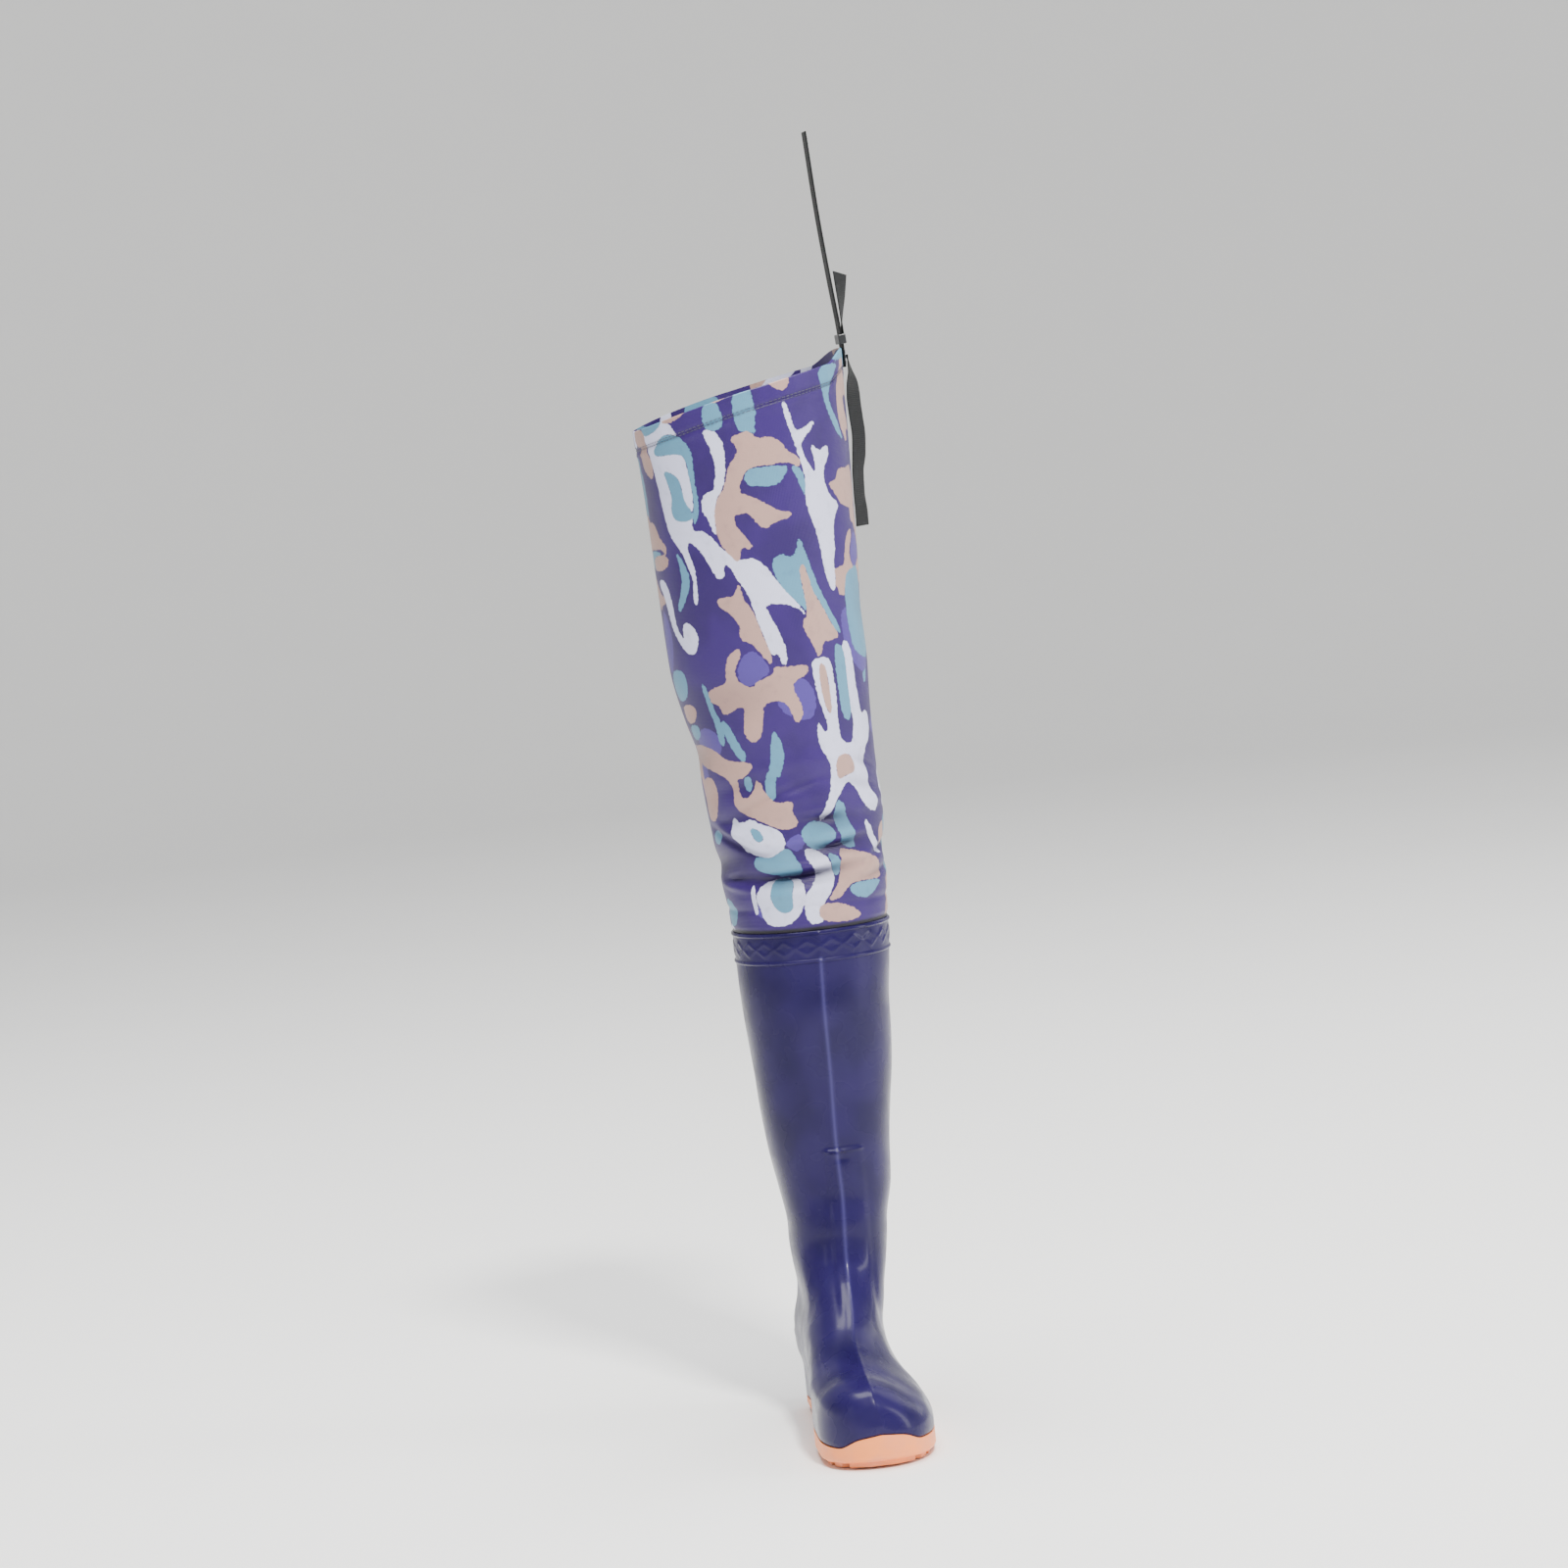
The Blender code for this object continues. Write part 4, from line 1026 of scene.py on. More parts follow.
def add_node(tree, kind, inputs, out=0, **settings):
    """Add a node with its settings, its inputs set or linked, and give one of its outputs."""
    node = tree.nodes.new(kind)
    for key, value in settings.items():
        setattr(node, key, value)
    for key, value in inputs.items():
        if isinstance(value, bpy.types.NodeSocket):
            tree.links.new(value, node.inputs[key])
        elif node.inputs[key].type == "RGBA":
            node.inputs[key].default_value = (*value, 1.0)
        else:
            node.inputs[key].default_value = value
    return node.outputs[out]


def surface(name, roughness, **sockets):
    """A material, its node tree, its shader and its coordinates in metres."""
    made = bpy.data.materials.new(name)
    made.use_nodes = True
    tree = made.node_tree
    shader = tree.nodes["Principled BSDF"]
    shader.inputs["Roughness"].default_value = roughness
    for key, value in sockets.items():
        shader.inputs[key.replace("_", " ")].default_value = value
    return made, tree, shader, add_node(tree, "ShaderNodeTexCoord", {}, "Object")


def patches(tree, coordinates, size, detail, low, high, start=0.0, end=1.0):
    """Patches of about a size in metres, from start to end as soft noise goes low to high."""
    noise = add_node(tree, "ShaderNodeTexNoise",
                     {"Vector": coordinates, "Scale": 1 / size, "Detail": detail})
    return add_node(tree, "ShaderNodeMapRange", {0: noise, 1: low, 2: high, 3: start, 4: end},
                    interpolation_type="SMOOTHSTEP")


def woven(tree, spacing, operation):
    """Threads crossing at a spacing in metres, along the piece's own map of its weave."""
    lie = add_node(tree, "ShaderNodeUVMap", {}, uv_map="weave")
    across, along_it = (
        add_node(tree, "ShaderNodeTexWave", {"Vector": lie, "Scale": math.pi / 10 / spacing}, 1,
                 wave_type="BANDS", bands_direction=axis) for axis in "XY")
    return add_node(tree, "ShaderNodeMath", {0: across, 1: along_it}, operation=operation)


def coloured(tree, shader, base, *layers):
    """Give a shader a colour under layers, each told by how much it shows and its colour."""
    for shows, over in layers:
        base = add_node(tree, "ShaderNodeMix", {0: shows, 6: base, 7: over}, 2, data_type="RGBA")
    tree.links.new(base, shader.inputs["Base Color"])


def relief(tree, shader, coordinates, *grains, threads=()):
    """Give a shader fine relief: grains by size, detail and rise, then threads with a rise."""
    layers = []
    for size, detail, rise in grains:
        inputs = {"Vector": coordinates, "Scale": 1 / size, "Detail": detail}
        layers.append((add_node(tree, "ShaderNodeTexNoise", inputs), rise))
    bumped = {}
    for height, rise in (*layers, *threads):
        inputs = {"Height": height, "Distance": rise, "Strength": 1.0, **bumped}
        bumped = {"Normal": add_node(tree, "ShaderNodeBump", inputs)}
    tree.links.new(bumped["Normal"], shader.inputs["Normal"])


def glossy_moulded_pvc(boot):
    """Plasticised PVC moulded against a polished tool: smooth, wet-looking, faintly mottled."""
    made, tree, shader, coordinates = surface(
        "glossy_moulded_pvc", 0.28, IOR=1.50, Specular_IOR_Level=0.14, Coat_Weight=0.11,
        Coat_Roughness=0.10)
    mottle = patches(tree, coordinates, 0.045, 1.0, 0.35, 0.70)
    # Grey bloom where the plasticiser has come to the surface
    bloom = patches(tree, coordinates, 0.030, 2.0, 0.50, 0.80, 0.0, 0.06)
    # Painted highlight: a lighter line down the mould seam's polished ridge, for the light that it
    # catches
    seam_highlight = add_node(tree, "ShaderNodeAttribute", {}, "Fac", attribute_name="seam_highlight")
    coloured(tree, shader, boot.pvc, (mottle, boot.pvc_dark), (bloom, linear("#453F72")),
             (seam_highlight, linear("#5A5692")))
    # Rubs from wear: 25 mm patches that are duller than the moulded face
    rubs = patches(tree, coordinates, 0.025, 2.0, 0.40, 0.75, 0.25, 0.36)
    tree.links.new(rubs, shader.inputs["Roughness"])
    # The polished tool leaves a faint orange peel at 2 mm
    relief(tree, shader, coordinates, (0.0020, 1.0, 0.000004))
    return made


def satin_moulded_pvc(boot):
    """Denser PVC moulded against a spark-eroded tool: satin, with a fine even grain."""
    made, tree, shader, coordinates = surface(
        "satin_moulded_pvc", 0.48, IOR=1.53, Subsurface_Weight=0.08, Subsurface_Scale=0.002)
    tone = patches(tree, coordinates, 0.022, 4.0, 0.40, 0.68, 0.0, 0.55)
    # Grey dust in the lower few millimetres that have stood on the ground
    height = add_node(tree, "ShaderNodeSeparateXYZ", {0: coordinates}, 2)
    low = add_node(tree, "ShaderNodeMapRange", {0: height, 1: 0.0, 2: 0.007, 3: 0.35, 4: 0.0},
                   interpolation_type="SMOOTHSTEP")
    specks = add_node(tree, "ShaderNodeTexNoise",
                      {"Vector": coordinates, "Scale": 1 / 0.006, "Detail": 5.0})
    dust = add_node(tree, "ShaderNodeMath", {0: low, 1: specks}, operation="MULTIPLY")
    coloured(tree, shader, boot.sole, (tone, boot.sole_edge), (dust, linear("#8C7A6C")))
    # Spark erosion leaves pits about 0.3 mm apart, drawn at 0.8 mm so that they show
    relief(tree, shader, coordinates, (0.0008, 2.0, 0.00005), (0.009, 2.0, 0.00015))
    return made


def cloth_faced_foam(boot):
    """Latex foam with a needled cloth face: matt and fuzzy, with flecks."""
    made, tree, shader, coordinates = surface("cloth_faced_foam", 0.95, Sheen_Weight=0.3)
    flecks = patches(tree, coordinates, 0.0012, 4.0, 0.45, 0.65)
    coloured(tree, shader, boot.foam, (flecks, linear("#55565C")))
    relief(tree, shader, coordinates, (0.0010, 6.0, 0.0002))
    return made


def printed_coated_polyamide(fabric):
    """Woven polyamide with a printed face and a coated back: flat colours, a dull sheen."""
    made, tree, shader, coordinates = surface(
        "printed_coated_polyamide", 0.40, IOR=1.50, Specular_IOR_Level=0.30)
    cloud = patches(tree, coordinates, 0.050, 3.0, 0.40, 0.62, 0.0, 0.60)
    layers = [(cloud, linear("#24114C"))]
    # The dyes bleed along the threads, so the edges wander by about half a millimetre
    bleed = patches(tree, coordinates, 0.0030, 4.0, 0.25, 0.75, -0.0006, 0.0006)
    for name in PRINT_COLOURS:
        drawn = add_node(tree, "ShaderNodeAttribute", {}, "Fac", attribute_name="print_" + name)
        reach = add_node(tree, "ShaderNodeMath", {0: drawn, 1: bleed}, operation="ADD")
        edges = {0: reach, 1: -0.0003, 2: 0.0003, 3: 0.0, 4: 0.94}
        shows = add_node(tree, "ShaderNodeMapRange", edges, interpolation_type="SMOOTHSTEP")
        layers.append((shows, getattr(fabric, name)))
    # Dyes sink unevenly: 8 mm patches a little darker
    sunk = patches(tree, coordinates, 0.008, 6.0, 0.50, 0.80, 0.0, 0.16)
    # Painted shade: the creases and the hem's channel are darkened towards deep violet, where shade
    # falls in them
    crease = add_node(tree, "ShaderNodeAttribute", {}, "Fac", attribute_name="crease")
    painted_crease_shade = add_node(tree, "ShaderNodeMath", {0: crease, 1: 0.80}, operation="MULTIPLY")
    # The fabric's lowest few millimetres, at the joint with the collar, are darkened to nearly black
    darkened_edge = add_node(tree, "ShaderNodeAttribute", {}, "Fac", attribute_name="darkened_edge")
    coloured(tree, shader, fabric.ground, *layers, (sunk, linear("#2C2550")),
             (painted_crease_shade, linear("#1A1230")), (darkened_edge, linear("#17151F")))
    # Threads lie 0.5 mm apart, drawn at twice that so that they show
    threads = woven(tree, fabric.weave, "ADD")
    relief(tree, shader, coordinates, (0.016, 3.0, 0.00032), threads=[(threads, 0.00006)])
    return made


def coated_back(fabric):
    """The fabric's calendered PVC back: smooth and rubbery, with the weave showing through."""
    made, tree, shader, coordinates = surface("coated_back", 0.42, IOR=1.52)
    cloud = patches(tree, coordinates, 0.030, 4.0, 0.3, 0.7, 0.0, 0.5)
    coloured(tree, shader, fabric.backing, (cloud, linear("#585A62")))
    relief(tree, shader, coordinates, (0.0012, 3.0, 0.00006))
    return made


def woven_polypropylene(strap):
    """Flat webbing woven from polypropylene: ribs across it, a faint waxy sheen."""
    made, tree, shader, coordinates = surface(
        "woven_polypropylene", 0.60, IOR=1.49, Specular_IOR_Level=0.22)
    threads = woven(tree, strap.rib, "MULTIPLY")
    worn = patches(tree, coordinates, 0.010, 5.0, 0.5, 0.75, 0.0, 0.35)
    coloured(tree, shader, strap.web, (threads, strap.web_light), (worn, linear("#202328")))
    relief(tree, shader, coordinates, threads=[(threads, 0.00030)])
    return made


def polyester_thread(name, thread):
    """Bonded polyester thread, twisted: a soft shine along it."""
    made, tree, shader, coordinates = surface(name, 0.45, IOR=1.57, Sheen_Weight=0.2)
    twist = add_node(tree, "ShaderNodeTexNoise",
                     {"Vector": coordinates, "Scale": 1 / 0.0006, "Detail": 2.0})
    coloured(tree, shader, thread, (twist, linear("#3C3A52")))
    relief(tree, shader, coordinates, threads=[(twist, 0.0001)])
    return made


def moulded_acetal(strap):
    """Acetal moulded against a sand-blasted tool: dark, with a fine dull grain."""
    made, tree, shader, coordinates = surface("moulded_acetal", 0.40, IOR=1.48)
    rubbed = patches(tree, coordinates, 0.004, 5.0, 0.5, 0.8, 0.0, 0.5)
    coloured(tree, shader, strap.slide, (rubbed, linear("#34373C")))
    relief(tree, shader, coordinates, (0.0006, 2.0, 0.00005))
    return made


def matt_plaster(stage):
    """Rolled matt plaster: pale and even, with a faint tooth."""
    made, tree, shader, coordinates = surface("matt_plaster", 0.9)
    tone = patches(tree, coordinates, 0.30, 4.0, 0.3, 0.7, 0.0, 0.10)
    coloured(tree, shader, stage.floor, (tone, linear("#EFEEED")))
    relief(tree, shader, coordinates, (0.004, 3.0, 0.0001))
    return made


def rungs(row):
    """Faces across a ring, from its front point to its back point."""
    count = len(row)
    faces = [(row[0], row[1], row[-1])]
    for i in range(1, count // 2 - 1):
        faces.append((row[i], row[i + 1], row[count - i - 1], row[count - i]))
    middle = count // 2
    faces.append((row[middle - 1], row[middle], row[middle + 1]))
    return faces


def add_piece(name, vertices, faces, *materials):
    """An object from points and faces, shaded smooth but for its sharp edges."""
    data = bpy.data.meshes.new(name)
    data.from_pydata(vertices, [], faces)
    working = bmesh.new()
    working.from_mesh(data)
    bmesh.ops.recalc_face_normals(working, faces=working.faces)
    working.to_mesh(data)
    working.free()
    data.shade_smooth()
    data.set_sharp_from_angle(angle=SHARP_ANGLE)
    for each in materials:
        data.materials.append(each)
    made = bpy.data.objects.new(name, data)
    bpy.context.scene.collection.objects.link(made)
    return made


def loft(name, rings, *materials, closed=False, capped=False):
    """A piece through rings of equal point counts, closed on itself or capped at both ends."""
    rings = np.array(rings)
    rows, columns = rings.shape[:2]
    index = np.arange(rows * columns).reshape(rows, columns)
    low = index if closed else index[:-1]
    high = np.roll(index, -1, axis=0) if closed else index[1:]
    quads = np.stack([low, np.roll(low, -1, axis=1), np.roll(high, -1, axis=1), high], axis=-1)
    faces = quads.reshape(-1, 4).tolist()
    if capped:
        faces += rungs(index[0].tolist()) + rungs(index[-1].tolist())
    return add_piece(name, rings.reshape(-1, 3).tolist(), faces, *materials)


def outward(rings):
    """Outward directions at the points of stacked rings."""
    up = np.gradient(rings, axis=0)
    round_ring = np.roll(rings, -1, axis=1) - np.roll(rings, 1, axis=1)
    across = np.cross(round_ring, up)
    return across / np.maximum(np.linalg.norm(across, axis=-1, keepdims=True), 1e-9)


def store(made, name, values):
    """Keep a number for each point of a piece."""
    field = made.data.attributes.new(name=name, type="FLOAT", domain="POINT")
    field.data.foreach_set("value", np.asarray(values, dtype=np.float32).ravel())


def store_weave(made, across, lengthwise):
    """Lay a map in metres over a piece, across and along its threads."""
    data = made.data
    corners = np.zeros(len(data.loops), dtype=np.int32)
    data.loops.foreach_get("vertex_index", corners)
    places = np.stack([np.ravel(across), np.ravel(lengthwise)], axis=1)[corners]
    data.uv_layers.new(name="weave").data.foreach_set("uv", places.astype(np.float32).ravel())


def ride(made, slot, *nodes):
    """Fix a piece to the wader, in the place of the solids that it stands for."""
    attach(made, "root")
    if nodes:
        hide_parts(*nodes)


def stitches(name, places, length, radius, thread):
    """A row of stitches: each place gives a middle, a direction and the face's normal."""
    vertices = []
    faces = []
    sides = 6
    profile = ((-0.50, 0.35, -0.9), (-0.30, 1.0, 0.1), (0.30, 1.0, 0.1), (0.50, 0.35, -0.9))
    for middle, direction, normal in places:
        direction = direction.normalized()
        side = direction.cross(normal).normalized()
        up = side.cross(direction)
        first = len(vertices)
        for along_it, wide, lift in profile:
            centre = middle + direction * (along_it * length) + up * (lift * radius)
            for k in range(sides):
                turn = 2 * math.pi * k / sides
                point = centre + (side * math.cos(turn) + up * math.sin(turn)) * radius * wide
                vertices.append(point)
        for ring in range(len(profile) - 1):
            for k in range(sides):
                near = first + ring * sides + k
                next_one = first + ring * sides + (k + 1) % sides
                faces.append((near, next_one, next_one + sides, near + sides))
        faces.append([first + k for k in range(sides)])
        faces.append([first + (len(profile) - 1) * sides + k for k in range(sides)])
    return add_piece(name, vertices, faces, thread)


def foot_heights(start, end, step):
    """Heights from start to end, spaced evenly along the foot's top line."""
    ys = np.linspace(HEEL_REACH - LAST_LENGTH, float(crest_front(end)), 2000)
    heights = crest(ys)
    walked = np.concatenate([[0.0], np.cumsum(np.hypot(np.diff(ys), np.diff(heights)))])
    begun = np.interp(start, heights, walked)
    return np.interp(np.arange(begun, walked[-1], step), walked, heights)


def collar_rise(height):
    """How far the collar's two rings stand proud at a height."""
    rise = np.zeros(np.shape(height))
    for foot in (BOOT_HEIGHT - BAND_HEIGHT - RING_HEIGHT, BOOT_HEIGHT - RING_HEIGHT):
        slope = RING_HEIGHT / 3
        up = smooth(foot, foot + slope, height)
        down = 1 - smooth(foot + RING_HEIGHT - slope, foot + RING_HEIGHT, height)
        rise = rise + RING_PROUD * up * down
    return rise


def band_pattern(angle, height):
    """Lozenges in a row round the collar band, each a raised outline, from 0 to 1."""
    pitch = 2 * math.pi / BAND_LOZENGES
    low = BOOT_HEIGHT - BAND_HEIGHT
    middle = low + (BAND_HEIGHT - RING_HEIGHT) / 2
    half = LOZENGE_HALF * (BAND_HEIGHT - RING_HEIGHT)
    across = np.abs((angle / pitch) % 1.0 - 0.5) * 2
    up = np.abs(height - middle) / half
    return bump(across * LOZENGE_WIDE + up, *LOZENGE_LINE) * (up < LOZENGE_END)


def creases(rows, height, angle):
    """Depth of creases at heights, and at angles from their middle."""
    total = np.zeros(height.shape)
    for middle, tilt, spread, half, depth in rows:
        rise = (height - middle - tilt * angle) / half
        total += depth * np.exp(-rise ** 2 - (angle / math.radians(spread)) ** 2)
    return total


def boot_relief(points, angle, boot):
    """How far the boot's outer face stands out over the plain last and shaft."""
    x, y, z = points[..., 0], points[..., 1], points[..., 2]
    ahead = np.abs(angle) < np.pi / 2
    seam_x = points[:, :1, 0]
    off_seam = x - seam_x
    above_sole = smooth(*SEAM_FOOT, z)
    out = np.zeros(z.shape)
    for half in SEAM_HALVES:
        out += above_sole * ahead * boot.seam * bump(off_seam, 0.0, half)
    # Panel down the shin, with a bar along its top and a dimple under that
    inside = smooth(*PANEL_INNER, off_seam) * (1 - smooth(*PANEL_OUTER, off_seam))
    top = 1 - smooth(BAR_TOP, BAR_TOP + BAR_FALL, z)
    out += boot.panel * inside * top * smooth(*PANEL_FOOT, z) * ahead
    out += BAR_SHARE * boot.panel * inside * bump(z, BAR_TOP, BAR_HALF) * ahead
    dimple = bump(off_seam, *DIMPLE_ACROSS) * bump(z, BAR_TOP - DIMPLE_DROP, DIMPLE_HALF)
    out -= DIMPLE_SHARE * boot.panel * dimple * ahead
    # Creases where the ankle bends: in front, and over the heel
    behind = np.pi - np.abs(angle)
    out -= boot.crease * creases(BOOT_CREASES, z, np.abs(angle))
    out -= boot.crease * creases(HEEL_CREASES, z, behind)
    # Ledge at the heel for pushing the boot off, and a faint line round the toe cap
    ledge = bump(z, LEDGE_HEIGHT, LEDGE_HALF)
    out += LEDGE_SHARE * boot.crease * ledge * bump(behind, 0.0, LEDGE_TURN)
    toe_line = bump(y - TOE_LINE + TOE_LINE_BOW * x * x, 0.0, TOE_LINE_HALF)
    out -= TOE_LINE_SHARE * boot.crease * toe_line * smooth(*TOE_LINE_FOOT, z) * ahead
    # The shaft's own slight waves
    shaft = smooth(*WAVES_FOOT, z) * (1 - smooth(*WAVES_TOP, z))
    for depth, waves, turn, beats, start in SHAFT_WAVES:
        out += depth * shaft * np.sin(waves * angle + turn * z) * np.cos(beats * z + start)
    out += boot.emboss * band_pattern(angle, z)
    return out + collar_rise(z)


class WADER_OT_boot(bpy.types.Operator):
    """Add the knee boot, with its collar band, shin panel and creases"""

    bl_idname = "wader.boot"
    bl_label = "Knee boot"

    def execute(self, context):
        boot = context.scene.hip_wader.boot
        shares, signs = ring_places(BOOT_COLUMNS)
        level = EDGE_HEIGHT + 2 * EDGE_STEP
        collar = BOOT_HEIGHT - BAND_HEIGHT - RING_HEIGHT - COLLAR_STEP
        heights = np.concatenate([
            foot_heights(level, INSTEP_HEIGHT, FOOT_STEP),
            np.arange(INSTEP_HEIGHT + SHIN_STEP, BAR_LOW, SHIN_STEP),
            np.arange(BAR_LOW, BAR_HIGH, COLLAR_STEP),
            np.arange(BAR_HIGH, collar - SHIN_STEP / 2, SHIN_STEP),
            np.arange(collar, BOOT_HEIGHT - COLLAR_STEP / 2, COLLAR_STEP),
            [BOOT_HEIGHT],
        ])
        top_edge = edge(shares, signs)
        outer = [foot_points(shares, signs, mix(top_edge + EDGE_STEP, level, t), 0.0)
                 for t in np.arange(5) / 5]
        outer += list(boot_points(shares[None, :], signs[None, :], heights[:, None], 0.0))
        outer = np.array(outer)
        angle = (signs * np.pi * shares)[None, :]
        out = boot_relief(outer, angle, boot)
        directions = outward(outer)
        directions[-2:] = directions[-3]
        outer = outer + directions * out[..., None]
        neck = FABRIC_WALL + GAP + JOINT_DRAW
        liner = PVC_WALL + neck
        neck_top = BOOT_HEIGHT + LAP_HEIGHT
        rings = self.bottom(shares, signs, 0.0) + list(outer)
        for height, inset in ((BOOT_HEIGHT, neck), (neck_top, neck), (neck_top, liner),
                              (BOOT_HEIGHT - BAND_HEIGHT, liner)):
            rings.append(boot_points(shares, signs, np.array(height), inset))
        for height in heights[heights < BOOT_HEIGHT - 2 * BAND_HEIGHT][::-4]:
            rings.append(boot_points(shares, signs, np.array(height), PVC_WALL))
        rings.append(foot_points(shares, signs, top_edge + EDGE_STEP, PVC_WALL))
        rings += self.bottom(shares, signs, PVC_WALL)[::-1]
        rings = np.array(rings)
        made = loft("knee_boot", rings, glossy_moulded_pvc(boot), closed=True)
        # Painted highlight along the mould seam up the shin, which fades out under the band
        off_seam = rings[..., 0] - rings[:, :1, 0]
        up_shin = smooth(*SEAM_HIGHLIGHT_FOOT, rings[..., 2]) * (np.cos(angle) > 0)
        below_band = 1 - smooth(0.0, SEAM_HIGHLIGHT_END, rings[..., 2] - BOOT_HEIGHT + BAND_HEIGHT)
        line = bump(off_seam, 0.0, SEAM_HIGHLIGHT_HALF)
        store(made, "seam_highlight", SEAM_HIGHLIGHT_SHOWN * up_shin * below_band * line)
        ride(made, "boot_pvc", "boot_upper")
        return {"FINISHED"}

    def bottom(self, shares, signs, inset):
        """The rings that stand inside the sole's lip, and the one over its edge."""
        drawn_in = inset + GAP + LIP_WALL
        top_edge = edge(shares, signs)
        return [sole_ring(shares, signs, drawn_in, lambda y: seat(y) + GAP),
                sole_ring(shares, signs, drawn_in, top_edge + GAP),
                sole_ring(shares, signs, inset + LIP_WALL / 3, top_edge + EDGE_STEP / 2)]


class WADER_OT_sole(bpy.types.Operator):
    """Add the sole, with its waved edge and the bars under heel and forefoot"""

    bl_idname = "wader.sole"
    bl_label = "Sole"

    def execute(self, context):
        boot = context.scene.hip_wader.boot
        shares, signs = ring_places(SOLE_COLUMNS)
        rings = []
        for turn in np.linspace(math.pi / 2, 0, 9):
            lift = SOLE_EDGE_ROUND * (1 - math.sin(turn))
            inset = SOLE_EDGE_ROUND * (1 - math.cos(turn))
            rings.append(sole_ring(shares, signs, inset, lambda y: underside(y) + lift))
        foot = rings[-1]
        top_edge = edge(shares, signs)
        top = sole_ring(shares, signs, 0.0, top_edge)
        rings += [mix(foot, top, t) for t in (0.25, 0.5, 0.75, 0.90)]
        for inset, height in ((0.0, top_edge - 0.75 * LIP_ROUND), (LIP_ROUND, top_edge),
                              (LIP_WALL, top_edge), (LIP_WALL, seat)):
            rings.append(sole_ring(shares, signs, inset, height))
        material = satin_moulded_pvc(boot)
        made = loft("waved_sole", rings, material, capped=True)
        ride(made, "sole_pvc", "outsole")
        bars = self.bars(material)
        ride(bars, "sole_pvc", "outsole")
        return {"FINISHED"}

    def bars(self, material):
        """Bars across the underside, with rounded edges."""
        working = bmesh.new()
        pitch = (HEEL_REACH - LUG_MARGIN - LUG_END - LUG_LENGTH / 2) / HEEL_LUGS[-1]
        toe_centre = HEEL_REACH - LAST_LENGTH + LUG_MARGIN + LUG_END + LUG_LENGTH / 2
        centres = [k * pitch for k in HEEL_LUGS]
        centres += [toe_centre + k * pitch for k in range(BALL_LUGS)]
        for centre in centres:
            for corner in bmesh.ops.create_cube(working, size=1.0)["verts"]:
                y = centre + corner.co.y * LUG_LENGTH
                top = float(underside(y))
                z = top - LUG_DEPTH if corner.co.z < 0 else top + LUG_ROOT
                corner.co = Vector((self.bar_end(y, 1 if corner.co.x > 0 else -1), y, z))
        bmesh.ops.bevel(working, geom=list(working.edges), offset=LUG_ROUND, segments=3,
                        affect="EDGES", profile=0.5)
        working.verts.index_update()
        vertices = [corner.co.copy() for corner in working.verts]
        faces = [[corner.index for corner in face.verts] for face in working.faces]
        working.free()
        return add_piece("sole_bars", vertices, faces, material)

    def bar_end(self, y, sign):
        """The x at which a bar ends at y, set in from the foot's outline."""
        toe_tip = HEEL_REACH - LAST_LENGTH + LUG_MARGIN
        back = HEEL_REACH * float(BOOT.at("heel", WIDEST_HEIGHT / BOOT_HEIGHT)) - LUG_MARGIN
        share = math.acos(1 - 2 * (y - toe_tip) / (back - toe_tip)) / math.pi
        ends = foot_points(np.array([share]), np.array([sign]), WIDEST_HEIGHT, LUG_MARGIN)
        return float(ends[0, 0])


class WADER_OT_insole(bpy.types.Operator):
    """Add the insole, with its rounded edge, lying on the sole's seat"""

    bl_idname = "wader.insole"
    bl_label = "Insole"

    def execute(self, context):
        boot = context.scene.hip_wader.boot
        shares, signs = ring_places(SOLE_COLUMNS // 2)
        tuck = 2 * GAP + LIP_WALL + PVC_WALL
        rings = []
        for rise, inset in ((0.0, 0.0006), (0.2, 0.0), (0.7, 0.0), (0.92, 0.0005), (1.0, 0.0015)):
            lift = GAP + INSOLE_WALL * rise
            rings.append(sole_ring(shares, signs, tuck + inset, lambda y: seat(y) + lift))
        made = loft("foam_insole", rings, cloth_faced_foam(boot), capped=True)
        ride(made, "insole_foam", "insole")
        return {"FINISHED"}


